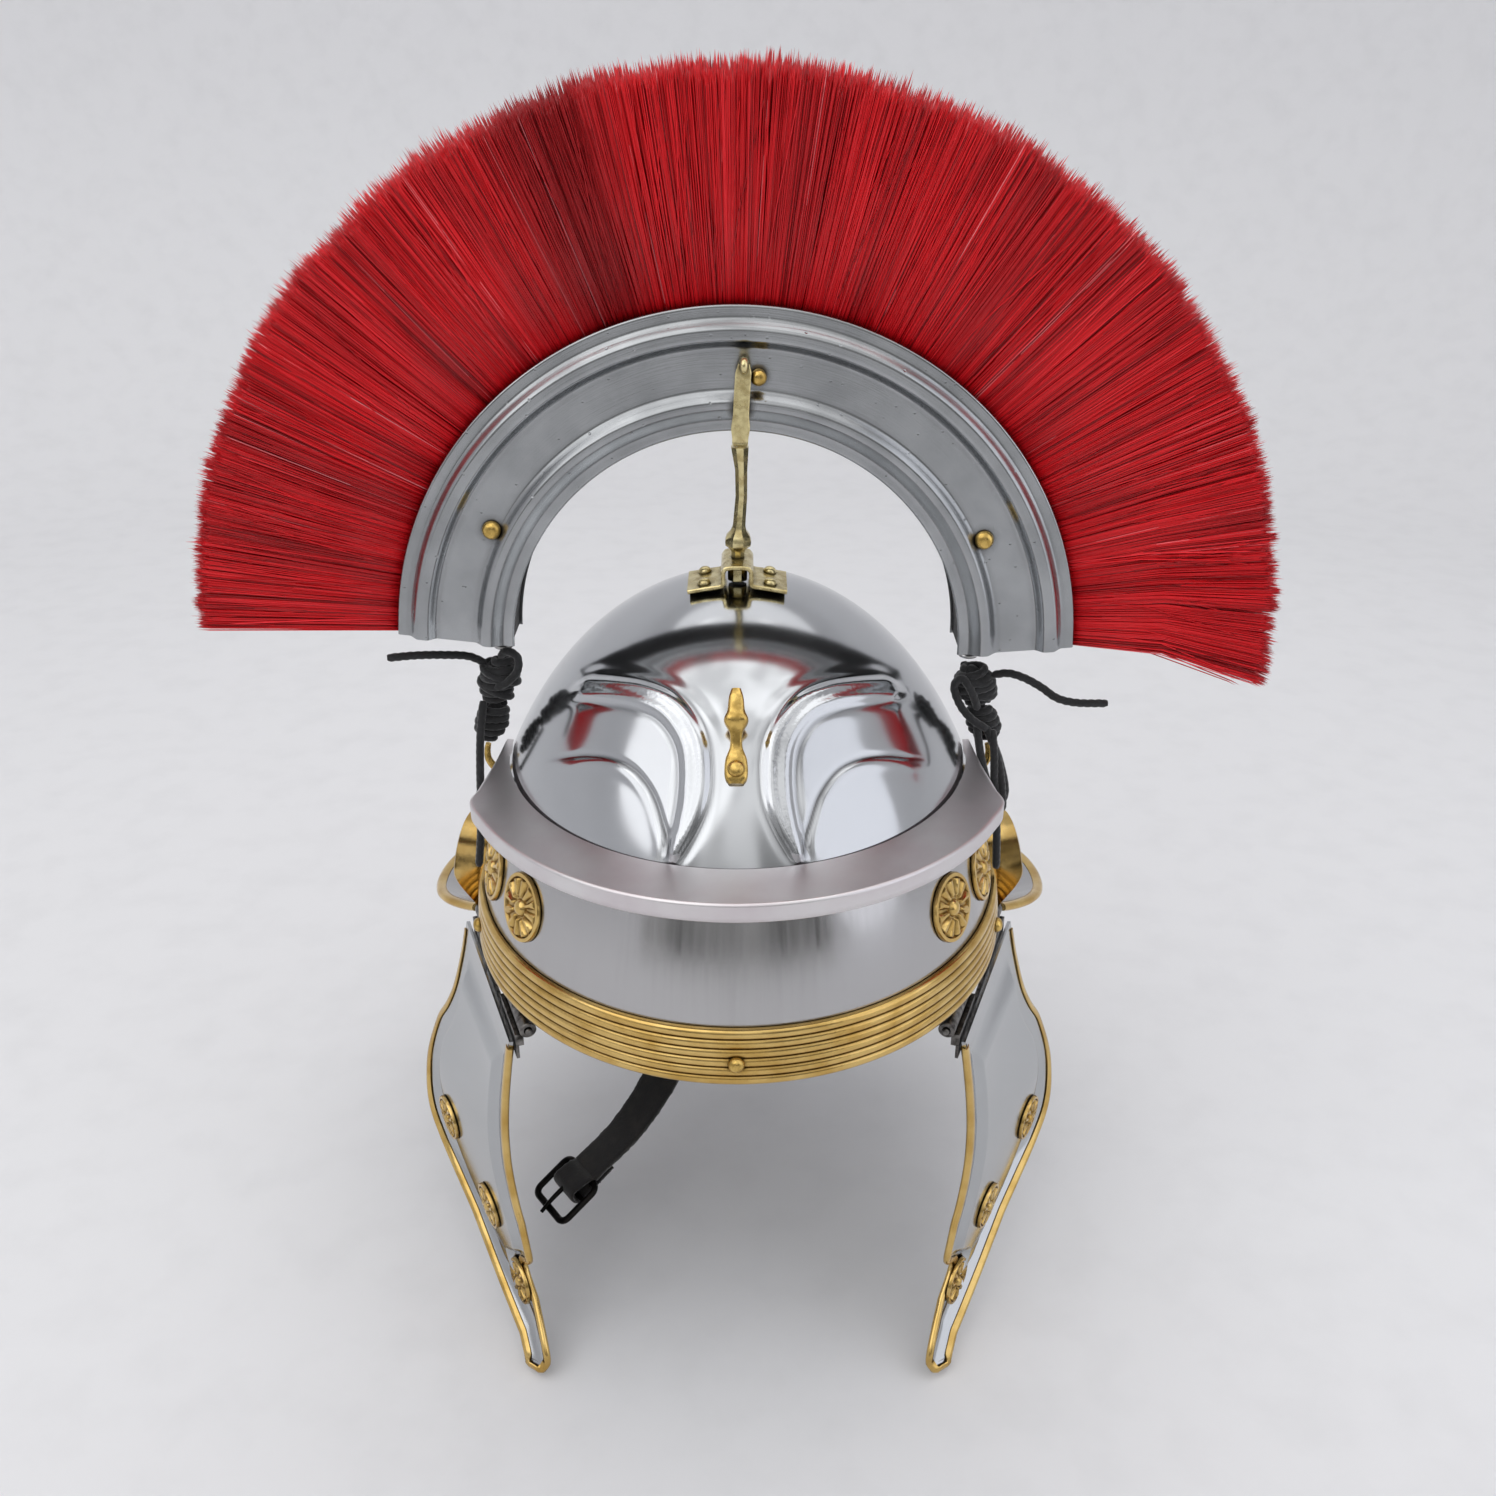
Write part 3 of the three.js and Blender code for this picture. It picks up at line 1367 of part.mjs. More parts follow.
const rimRivets = [
  { name: "rim_rivet_front", angle: 0 },
  { name: "rim_rivet_left", angle: -rimRivetSideAngle },
  { name: "rim_rivet_right", angle: rimRivetSideAngle },
];
rimRivets.forEach(({ name, angle }) => {
  const { place, normal } = onBowl(angle, rimRivetHeight, 2 * fitGap + rimTrimWall + rimTrimRib);
  addPiece(name, seated(makeRivet(), place, normal), polishedBrass);
});

leftAndRight.forEach(({ name, side }) => {
  addPiece(`ear_guard_${name}`, makeEarGuard(side), polishedBrass);
  addPiece(`side_hook_${name}`, makeSideHook(side), castBrass);
  const browRosettes = [
    { place: "brow", angle: browRosetteAngle },
    { place: "ear", angle: earRosetteAngle },
  ];
  browRosettes.forEach(({ place, angle }) => {
    const seat = onBowl(side * angle, browRosetteHeight, fitGap);
    const rosette = seated(makeRosette(browRosetteRadius), seat.place, seat.normal);
    addPiece(`rosette_${place}_${name}`, rosette, polishedBrass);
  });
  addPiece(`hinge_fixed_${name}`, makeFixedLeaf(side), brushedSteel);
  addPiece(`hinge_pin_${name}`, hingeBar(side, -0.012, 1.012, pinRadius, 6), brushedSteel);
  addPiece(`hinge_swing_${name}`, makeSwingingLeaf(side), darkSteel);
  const plate = makeCheekPlate(side);
  addPiece(`cheek_plate_${name}`, plate, polishedSteel);
  addPiece(`cheek_trim_${name}`, makeCheekTrim(side), polishedBrass);
  cheekRosettes.forEach(({ name: level, along, down }) => {
    const place = [along * cheekWidth, down * cheekDepth];
    const seat = seatOn(plate, cheekPlace(side, ...place, cheekWall + cheekLift(...place)), cheekRosetteRadius);
    const rosette = seated(makeRosette(cheekRosetteRadius), seat.place, seat.normal);
    addPiece(`rosette_${level}_${name}`, rosette, polishedBrass);
  });
});

addPiece("crest_bracket", makeBracket(), castBrass);
addPiece("crest_fork", makeFork(), castBrass, crest);
addPiece("crest_core", makeCrestCore(), blackWood, crest);
addPiece("plume", makePlume(), redBristle, crest);
const faces = [
  { name: "front", facing: -1 },
  { name: "back", facing: 1 },
];
faces.forEach(({ name, facing }) => {
  addPiece(`crest_plate_${name}`, makeCrestPlate(facing), brushedSteel, crest);
  addPiece(`fork_bolt_${name}`, makeForkBolt(facing), polishedBrass, crest);
  leftAndRight.forEach(({ name: sideName, side }) => {
    addPiece(`crest_rivet_${name}_${sideName}`, makeCrestRivet(side, facing), polishedBrass, crest);
  });
});
leftAndRight.forEach(({ name, side }) => {
  addPiece(`crest_eyelet_${name}`, makeEyelet(side), brushedSteel, crest);
  addPiece(`cord_${name}_knot`, makeKnot(side), blackCord);
});
Object.keys(cordRoutes).forEach((name) => {
  addPiece(name, makeCord(name), blackCord);
});

addPiece("chin_strap", makeStrap(), blackLeather);
addPiece("strap_buckle", makeBuckle(), darkSteel);
addPiece("strap_rivet", makeStrapRivet(), darkSteel);

export default helmet;
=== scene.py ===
"""Roman legionary helmet with a transverse bristle crest: the pieces and finishes that show.

Lengths are millimetres in the part's own frame, unless a name says otherwise: +Z is up, the wearer faces
-Y, and the origin is the centre of the head opening. Meshes are turned to metres as they are made.
"""

import logging
import math
from dataclasses import dataclass
from enum import Enum
from typing import Callable, Sequence

import bmesh
import bpy
import numpy as np
from bpy.types import Material, Node, NodeSocket, NodeTree, Object
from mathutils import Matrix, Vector

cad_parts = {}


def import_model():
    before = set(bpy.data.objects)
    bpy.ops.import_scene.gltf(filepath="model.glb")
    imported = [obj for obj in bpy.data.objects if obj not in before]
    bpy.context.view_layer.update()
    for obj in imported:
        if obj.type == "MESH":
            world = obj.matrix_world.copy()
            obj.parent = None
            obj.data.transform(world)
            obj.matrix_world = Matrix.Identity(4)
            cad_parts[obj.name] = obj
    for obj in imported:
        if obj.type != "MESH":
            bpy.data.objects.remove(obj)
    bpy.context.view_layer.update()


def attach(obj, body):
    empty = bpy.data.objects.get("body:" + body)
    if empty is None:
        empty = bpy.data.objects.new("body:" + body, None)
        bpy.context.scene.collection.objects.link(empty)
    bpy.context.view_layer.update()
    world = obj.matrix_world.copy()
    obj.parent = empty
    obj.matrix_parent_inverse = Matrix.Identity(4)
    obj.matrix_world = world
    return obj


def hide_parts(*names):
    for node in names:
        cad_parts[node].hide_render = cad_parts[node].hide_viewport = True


LOG = logging.getLogger("helmet")
Array = np.ndarray
Rows = Sequence[Sequence[float]]
MM = 0.001
UP = np.array([0.0, 0.0, 1.0])


class Body(Enum):
    """The bodies that pieces ride on."""

    ROOT = "root"
    CHEEK_LEFT = "cheek_left"
    CHEEK_RIGHT = "cheek_right"


class Side(Enum):
    """Left and right of the helmet, seen from the front."""

    LEFT = -1
    RIGHT = 1

    @property
    def word(self) -> str:
        """The side's name in node names."""
        return self.name.lower()

    @property
    def cheek(self) -> Body:
        """The body of this side's cheek guard."""
        return Body.CHEEK_LEFT if self is Side.LEFT else Body.CHEEK_RIGHT


def hex_to_linear(code: str) -> tuple[float, float, float, float]:
    """Turns an sRGB colour to linear light.

    Args:
        code: six hex digits, red first.

    Returns:
        Red, green, blue and an alpha of 1.
    """
    parts = [int(code[start : start + 2], 16) / 255 for start in (0, 2, 4)]
    linear = [v / 12.92 if v <= 0.04045 else ((v + 0.055) / 1.055) ** 2.4 for v in parts]
    return (linear[0], linear[1], linear[2], 1.0)


def smooth_step(value: Array | float) -> Array:
    """Eases from 0 to 1 as value goes from 0 to 1.

    Args:
        value: one number or an array.

    Returns:
        The eased numbers.
    """
    share = np.clip(value, 0.0, 1.0)
    return share * share * (3 - 2 * share)


def table_value(rows: Rows, column: int, at: Array | float) -> Array:
    """Reads one column of a table with smooth steps between its rows.

    Args:
        rows: rows sorted by their first number.
        column: the column to read, from 1.
        at: where to read it.

    Returns:
        The values.
    """
    table = np.asarray(rows, float)
    x, y = table[:, 0], table[:, column]
    spot = np.clip(np.asarray(at, float), x[0], x[-1])
    high = np.clip(np.searchsorted(x, spot, side="left"), 1, len(x) - 1)
    low = high - 1
    before = np.maximum(low - 1, 0)
    after = np.minimum(high + 1, len(x) - 1)
    span = x[high] - x[low]
    share = (spot - x[low]) / span
    slope_low = (y[high] - y[before]) / (x[high] - x[before]) * span
    slope_high = (y[after] - y[low]) / (x[after] - x[low]) * span
    square, cube = share**2, share**3
    return (
        y[low] * (2 * cube - 3 * square + 1)
        + slope_low * (cube - 2 * square + share)
        + y[high] * (3 * square - 2 * cube)
        + slope_high * (cube - square)
    )


def unit(vectors: Array) -> Array:
    """Scales vectors to a length of 1.

    Args:
        vectors: one vector, or any array of them.

    Returns:
        The unit vectors.
    """
    length = np.linalg.norm(vectors, axis=-1, keepdims=True)
    return vectors / np.maximum(length, 1e-12)


def curve_through(points: Rows, steps: int) -> Array:
    """Draws a smooth curve through points, with even steps along its length.

    Args:
        points: the points, in order.
        steps: how many steps the curve gets.

    Returns:
        steps + 1 points.
    """
    knots = np.asarray(points, float)
    ends = np.vstack([2 * knots[0] - knots[1], knots, 2 * knots[-1] - knots[-2]])
    share = np.linspace(0, 1, 24, endpoint=False)[:, None]
    pieces = []
    for first in range(len(knots) - 1):
        a, b, c, d = ends[first : first + 4]
        gaps = [max(np.linalg.norm(q - p), 1e-9) ** 0.5 for p, q in ((a, b), (b, c), (c, d))]
        slope_b = ((b - a) / gaps[0] - (c - a) / (gaps[0] + gaps[1]) + (c - b) / gaps[1]) * gaps[1]
        slope_c = ((c - b) / gaps[1] - (d - b) / (gaps[1] + gaps[2]) + (d - c) / gaps[2]) * gaps[1]
        square, cube = share**2, share**3
        pieces.append(
            b * (2 * cube - 3 * square + 1)
            + slope_b * (cube - 2 * square + share)
            + c * (3 * square - 2 * cube)
            + slope_c * (cube - square)
        )
    fine = np.vstack([*pieces, knots[-1:]])
    return even_steps(fine, steps)


def even_steps(line: Array, steps: int) -> Array:
    """Redraws a line with even steps along its length.

    Args:
        line: its points.
        steps: how many steps it gets.

    Returns:
        steps + 1 points.
    """
    travelled = np.concatenate([[0], np.cumsum(np.linalg.norm(np.diff(line, axis=0), axis=1))])
    wanted = np.linspace(0, travelled[-1], steps + 1)
    return np.stack([np.interp(wanted, travelled, line[:, axis]) for axis in range(3)], axis=1)


def line_length(line: Array) -> float:
    """Measures a line.

    Args:
        line: its points.

    Returns:
        Its length.
    """
    return float(np.linalg.norm(np.diff(line, axis=0), axis=1).sum())


def travel_frames(line: Array, start: Array | None = None) -> tuple[Array, Array]:
    """Carries two directions along a line without twisting them.

    Args:
        line: its points.
        start: roughly where the first direction points at the start.

    Returns:
        Two arrays of directions, square to the line and to each other.
    """
    along = unit(np.gradient(line, axis=0))
    helper = start if start is not None else (UP if abs(along[0][2]) < 0.9 else np.array([1.0, 0.0, 0.0]))
    first = np.empty_like(line)
    carried = np.asarray(helper, float)
    for index, direction in enumerate(along):
        carried = unit(carried - direction * float(carried @ direction))
        first[index] = carried
    return first, np.cross(along, first)


class MeshDraft:
    """Gathers points and faces in millimetres, and makes one mesh object of them."""

    def __init__(self) -> None:
        """Starts an empty draft."""
        self.points: list[Array] = []
        self.faces: list[list[int]] = []
        self.marks: list[Array] = []
        self.count = 0

    def add(self, points: Array, faces: Array, marks: Array | None = None) -> "MeshDraft":
        """Adds points and faces that refer to them.

        Args:
            points: places, in any array shape that ends in 3.
            faces: rows of point numbers.
            marks: a value for each point, for the finish to read.

        Returns:
            The draft.
        """
        flat = np.asarray(points, float).reshape(-1, 3)
        self.points.append(flat)
        self.faces.extend((np.asarray(faces) + self.count).tolist())
        self.marks.append(np.zeros(len(flat)) if marks is None else np.asarray(marks, float).ravel())
        self.count += len(flat)
        return self

    def grid(
        self,
        places: Array,
        wrap: bool = False,
        caps: bool = False,
        marks: Array | None = None,
    ) -> "MeshDraft":
        """Adds a grid of quads.

        Args:
            places: rows by columns by 3.
            wrap: whether each row is a ring.
            caps: whether the first and last row are closed by a face.
            marks: a value for each place.

        Returns:
            The draft.
        """
        rows, columns = places.shape[:2]
        index = np.arange(rows * columns).reshape(rows, columns)
        if wrap:
            index = np.hstack([index, index[:, :1]])
        quads = np.stack([index[:-1, :-1], index[:-1, 1:], index[1:, 1:], index[1:, :-1]], axis=-1)
        base = self.count
        self.add(places, quads.reshape(-1, 4), marks)
        if caps:
            self.faces.append((np.arange(columns)[::-1] + base).tolist())
            self.faces.append((np.arange(columns) + base + (rows - 1) * columns).tolist())
        return self

    def tube(self, line: Array, radius: Array | float, sides: int = 12) -> "MeshDraft":
        """Adds a round bar along a line.

        Args:
            line: its points.
            radius: one radius, or one for each point.
            sides: facets round it.

        Returns:
            The draft.
        """
        first, second = travel_frames(line)
        turn = np.linspace(0, 2 * math.pi, sides, endpoint=False)
        reach = np.broadcast_to(np.asarray(radius, float), (len(line),))[:, None, None]
        round_about = (np.cos(turn)[None, :, None] * first[:, None]
                       + np.sin(turn)[None, :, None] * second[:, None])
        return self.grid(line[:, None] + reach * round_about, wrap=True, caps=True)

    def turned(
        self,
        profile: Rows,
        place: Array,
        normal: Array,
        sides: int = 32,
    ) -> "MeshDraft":
        """Adds a turned form on a place.

        Args:
            profile: rows of radius and height above the place.
            place: its foot.
            normal: its axis.
            sides: facets round it.

        Returns:
            The draft.
        """
        first, second, axis = seat_frame(normal)
        rows = np.asarray(profile, float)
        turn = np.linspace(0, 2 * math.pi, sides, endpoint=False)
        spread = np.cos(turn)[None, :, None] * first + np.sin(turn)[None, :, None] * second
        rings = place + rows[:, 0, None, None] * spread + rows[:, 1, None, None] * axis
        return self.grid(rings, wrap=True, caps=True)

    def build(self, name: str, finish: "Finish", crease_degrees: float = 35.0,
              weld: bool = True) -> Object:
        """Makes the mesh object: equal points become one and faces turn outwards.

        Args:
            name: the piece's name.
            finish: what it is made of.
            crease_degrees: edges sharper than this stay crisp.
            weld: whether points and faces are tidied, which a bundle of loose strands doesn't need.

        Returns:
            The object, in metres.
        """
        mesh = bpy.data.meshes.new(name)
        mesh.from_pydata((np.vstack(self.points) * MM).tolist(), [], self.faces)
        layer = mesh.attributes.new("mark", "FLOAT", "POINT")
        layer.data.foreach_set("value", np.concatenate(self.marks).astype(np.float32))
        if weld:
            work = bmesh.new()
            work.from_mesh(mesh)
            bmesh.ops.remove_doubles(work, verts=work.verts, dist=2e-6)
            bmesh.ops.dissolve_degenerate(work, edges=work.edges, dist=1e-7)
            bmesh.ops.recalc_face_normals(work, faces=work.faces)
            work.to_mesh(mesh)
            work.free()
        mesh.shade_smooth()
        if weld:
            mesh.set_sharp_from_angle(angle=math.radians(crease_degrees))
        mesh.materials.append(finish.material())
        piece = bpy.data.objects.new(name, mesh)
        bpy.context.scene.collection.objects.link(piece)
        return piece


def seat_frame(normal: Array) -> tuple[Array, Array, Array]:
    """Finds two directions square to a normal.

    Args:
        normal: the axis.

    Returns:
        A direction level with the ground, one up the slope, and the unit normal.
    """
    axis = unit(np.asarray(normal, float))
    helper = UP if abs(axis[2]) < 0.95 else np.array([0.0, -1.0, 0.0])
    first = unit(np.cross(helper, axis))
    return first, np.cross(axis, first), axis


def dress(piece: Object, body: Body, nodes: Sequence[str] = ()) -> Object:
    """Puts a piece on its body and hides the solids it stands for.

    Args:
        piece: the mesh object.
        body: the body it rides on.
        nodes: the solids it replaces.

    Returns:
        The piece.
    """
    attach(piece, body.value)
    if nodes:
        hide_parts(*nodes)
    return piece


def add_node(
    tree: NodeTree,
    kind: str,
    inputs: dict[str | int, object] | None = None,
    stops: Sequence[tuple[float, object]] = (),
    **settings: object,
) -> Node:
    """Adds a node with its settings, values and links.

    Args:
        tree: the node tree.
        kind: the node's type, without the word ShaderNode before it.
        inputs: a value or an output socket for each named input.
        stops: places and colours of a colour ramp.
        **settings: the node's own properties.

    Returns:
        The node.
    """
    node = tree.nodes.new(f"ShaderNode{kind}")
    for key, value in settings.items():
        setattr(node, key, value)
    for key, value in (inputs or {}).items():
        if isinstance(value, NodeSocket):
            tree.links.new(value, node.inputs[key])
        else:
            node.inputs[key].default_value = value
    if stops:
        elements = node.color_ramp.elements
        while len(elements) < len(stops):
            elements.new(0.5)
        for element, (spot, colour) in zip(elements, stops):
            element.position = spot
            element.color = colour if isinstance(colour, tuple) else (colour, colour, colour, 1.0)
    return node


@dataclass(frozen=True)
class Finish:
    """A finish: what the material is and how its surface was made."""

    name: str

    def material(self) -> Material:
        """Returns the finish's material, made once."""
        found = bpy.data.materials.get(self.name)
        if found:
            return found
        made = bpy.data.materials.new(self.name)
        made.use_nodes = True
        tree = made.node_tree
        tree.nodes.clear()
        shader = add_node(tree, "BsdfPrincipled")
        add_node(tree, "OutputMaterial", {"Surface": shader.outputs[0]})
        self.dress(tree, shader)
        return made

    def dress(self, tree: NodeTree, shader: Node) -> None:
        """Sets the shader.

        Args:
            tree: the material's nodes.
            shader: its surface shader.
        """
        raise NotImplementedError

    def noise(self, tree: NodeTree, size_mm: float, stretch: Sequence[float] = (1, 1, 1),
              detail: float = 3.0, source: object = None) -> NodeSocket:
        """Adds a noise pattern with a real size.

        Args:
            tree: the material's nodes.
            size_mm: the width of one blotch.
            stretch: how many times longer it is along each axis.
            detail: layers of finer noise.
            source: coordinates to use in place of the object's own.

        Returns:
            The pattern, about 0 to 1.
        """
        place = source or add_node(tree, "TexCoord").outputs["Object"]
        scale = tuple(1 / (size_mm * MM * share) for share in stretch)
        spot = add_node(tree, "VectorMath", {0: place, 1: scale}, operation="MULTIPLY")
        return add_node(tree, "TexNoise", {"Vector": spot.outputs[0], "Scale": 1.0,
                                                     "Detail": detail}).outputs["Fac"]

    def range(self, tree: NodeTree, value: object, low: float, high: float,
              start: float = 0.0, end: float = 1.0) -> NodeSocket:
        """Maps a pattern to another range.

        Args:
            tree: the material's nodes.
            value: the pattern.
            low: its value that becomes start.
            high: its value that becomes end.
            start: the first result.
            end: the last result.

        Returns:
            The mapped pattern.
        """
        return add_node(tree, "MapRange", {"Value": value, "From Min": low, "From Max": high,
                                                     "To Min": start, "To Max": end}).outputs[0]

    def bump(self, tree: NodeTree, height: object, depth_mm: float, below: object = None) -> object:
        """Adds a bump of a real depth.

        Args:
            tree: the material's nodes.
            height: the pattern.
            depth_mm: its depth.
            below: another bump under it.

        Returns:
            The bumped normal.
        """
        inputs = {"Height": height, "Distance": depth_mm * MM, "Strength": 1.0}
        if below is not None:
            inputs["Normal"] = below
        return add_node(tree, "Bump", inputs).outputs[0]

    def round_about(self, tree: NodeTree, centre_mm: Sequence[float], axes: str,
                    radius_mm: float) -> NodeSocket:
        """Adds coordinates that run round an axis, for brushing and streaks that follow it.

        Args:
            tree: the material's nodes.
            centre_mm: a point on the axis.
            axes: the two axes of the circle's plane and the third one.
            radius_mm: where one unit round the circle is one metre.

        Returns:
            A vector of distance round, distance from the axis, and distance along it.
        """
        place = add_node(tree, "TexCoord").outputs["Object"]
        moved = add_node(tree, "VectorMath", {0: place, 1: tuple(v * MM for v in centre_mm)},
                         operation="SUBTRACT")
        split = add_node(tree, "SeparateXYZ", {0: moved.outputs[0]})
        first, second, third = (split.outputs["XYZ".index(axis)] for axis in axes)
        turn = add_node(tree, "Math", {0: second, 1: first}, operation="ARCTAN2")
        around = add_node(tree, "Math", {0: turn.outputs[0], 1: radius_mm * MM}, operation="MULTIPLY")
        squares = [add_node(tree, "Math", {0: v, 1: 2.0}, operation="POWER").outputs[0]
                   for v in (first, second)]
        total = add_node(tree, "Math", {0: squares[0], 1: squares[1]}, operation="ADD")
        reach = add_node(tree, "Math", {0: total.outputs[0]}, operation="SQRT")
        return add_node(tree, "CombineXYZ", {0: around.outputs[0], 1: reach.outputs[0],
                                                       2: third}).outputs[0]

    def blend(self, tree: NodeTree, share: object, first: str, second: str) -> NodeSocket:
        """Mixes two colours by a pattern.

        Args:
            tree: the material's nodes.
            share: the pattern.
            first: the colour at 0, in sRGB hex.
            second: the colour at 1.

        Returns:
            The colour.
        """
        ramp = [(0.0, hex_to_linear(first)), (1.0, hex_to_linear(second))]
        return add_node(tree, "ValToRGB", {"Fac": share}, stops=ramp).outputs[0]

    def crevice_shade(self, tree: NodeTree, reach_mm: float) -> NodeSocket:
        """Adds a mask of painted shade from ambient occlusion: 1 in corners and 0 on open faces.

        Args:
            tree: the material's nodes.
            reach_mm: how far the painted shade and grime of a corner reach.

        Returns:
            The mask.
        """
        open_sky = add_node(tree, "AmbientOcclusion", {"Distance": reach_mm * MM}, samples=6)
        return self.range(tree, open_sky.outputs["AO"], 0.95, 0.45)

    def metal(self, tree: NodeTree, shader: Node, colour: NodeSocket, rough: NodeSocket,
              normal: NodeSocket) -> None:
        """Sets the shader of a bare metal.

        Args:
            tree: the material's nodes.
            shader: its surface shader.
            colour: its colour.
            rough: its roughness.
            normal: its bumped normal.
        """
        for key, value in {"Base Color": colour, "Roughness": rough, "Normal": normal}.items():
            tree.links.new(value, shader.inputs[key])
        shader.inputs["Metallic"].default_value = 1.0


@dataclass(frozen=True)
class PolishedSteel(Finish):
    """Mild steel, planished and mirror polished: clear reflections, faint waves and hairline scratches.

    Below the brow it was only brushed, so that the band there is satin with upright streaks.
    """

    colour: str = "BFC1C4"
    band_colour: str = "B4B3B4"
    # Painted shade laid into the embossing's creases
    crease_shade_colour: str = "3C3C3E"
    shine: float = 0.12
    satin: float = 0.17
    brushed_below_mm: float = 70.0

    def dress(self, tree: NodeTree, shader: Node) -> None:
        """Sets the shader.

        Args:
            tree: the material's nodes.
            shader: its surface shader.
        """
        place = add_node(tree, "TexCoord").outputs["Object"]
        height = add_node(tree, "SeparateXYZ", {0: place}).outputs["Z"]
        brushed = self.range(tree, height, (self.brushed_below_mm + 4) * MM, self.brushed_below_mm * MM)
        around = self.round_about(tree, (0, -7, 0), "XYZ", 110)
        streaks = self.noise(tree, 2.6, (1, 8, 26), 3, around)
        blotches = self.noise(tree, 26, (1, 1, 1), 4)
        scratches = self.noise(tree, 0.5, (26, 1, 1), 2)
        waves = self.noise(tree, 34, (1, 1, 1), 1)
        rough = self.range(tree, blotches, 0.35, 0.7, self.shine, self.shine + 0.05)
        satin = self.range(tree, streaks, 0.3, 0.75, self.satin - 0.03, self.satin + 0.1)
        mixed = add_node(tree, "Mix", {0: brushed, 2: rough, 3: satin})
        tint = add_node(tree, "Mix", {0: brushed, 6: hex_to_linear(self.colour),
                                                7: hex_to_linear(self.band_colour)}, data_type="RGBA")
        mark = add_node(tree, "Attribute", attribute_name="mark").outputs["Fac"]
        hammered = self.range(tree, mark, 0, 1)
        # Creases, where the mark is below 0, are painted towards the crease colour: painted shade.
        painted_crease_shade = self.range(tree, mark, 0, -1, 0, 0.85)
        skin = add_node(tree, "Mix", {0: painted_crease_shade, 6: tint.outputs[2],
                                                7: hex_to_linear(self.crease_shade_colour)}, data_type="RGBA")
        dents = add_node(tree, "Math", {0: self.noise(tree, 1.5, (1, 1, 1), 2), 1: hammered},
                         operation="MULTIPLY")
        upright = add_node(tree, "Math", {0: streaks, 1: brushed}, operation="MULTIPLY")
        normal = self.bump(tree, waves, 0.12)
        normal = self.bump(tree, scratches, 0.0025, normal)
        normal = self.bump(tree, upright.outputs[0], 0.003, normal)
        normal = self.bump(tree, dents.outputs[0], 0.07, normal)
        self.metal(tree, shader, skin.outputs[2], mixed.outputs[0], normal)


@dataclass(frozen=True)
class WorkedMetal(Finish):
    """Any of the plainer metals: its colour, a second colour in blotches, and a darker colour in its corners
    from ambient occlusion: painted shade together with grime.
    """

    colour: str
    stain: str
    grime_and_shade: str
    shine: float
    spread: float
    blotch_mm: float
    dents_mm: float
    grime_reach_mm: float = 2.0
    brushing_mm: float = 0.0
    pits: bool = False

    def dress(self, tree: NodeTree, shader: Node) -> None:
        """Sets the shader.

        Args:
            tree: the material's nodes.
            shader: its surface shader.
        """
        blotches = self.range(tree, self.noise(tree, self.blotch_mm, detail=5), 0.38, 0.68)
        skin = self.blend(tree, blotches, self.colour, self.stain)
        # Corners are darkened towards the grime colour by ambient occlusion: painted shade, together with
        # grime.
        corner_shade_and_grime = self.crevice_shade(tree, self.grime_reach_mm)
        mixed = add_node(tree, "Mix", {0: corner_shade_and_grime, 6: skin, 7: hex_to_linear(self.grime_and_shade)},
                         data_type="RGBA")
        rough = self.range(tree, blotches, 0, 1, self.shine, self.shine + self.spread)
        dull = self.range(tree, corner_shade_and_grime, 0, 1, 0, 0.3)
        total = add_node(tree, "Math", {0: rough, 1: dull}, operation="ADD")
        normal = self.bump(tree, self.noise(tree, 2.2, detail=2), self.dents_mm)
        if self.brushing_mm:
            around = self.round_about(tree, (0, -9, 119.4), "XZY", 105)
            lines = self.noise(tree, self.brushing_mm, (40, 1, 3), 3, around)
            normal = self.bump(tree, lines, 0.03, normal)
        if self.pits:
            dots = add_node(tree, "TexVoronoi", {
                "Vector": add_node(tree, "TexCoord").outputs["Object"], "Scale": 1 / (5 * MM)})
            normal = self.bump(tree, self.range(tree, dots.outputs["Distance"], 0.05, 0.12), 0.12, normal)
        self.metal(tree, shader, mixed.outputs[2], total.outputs[0], normal)


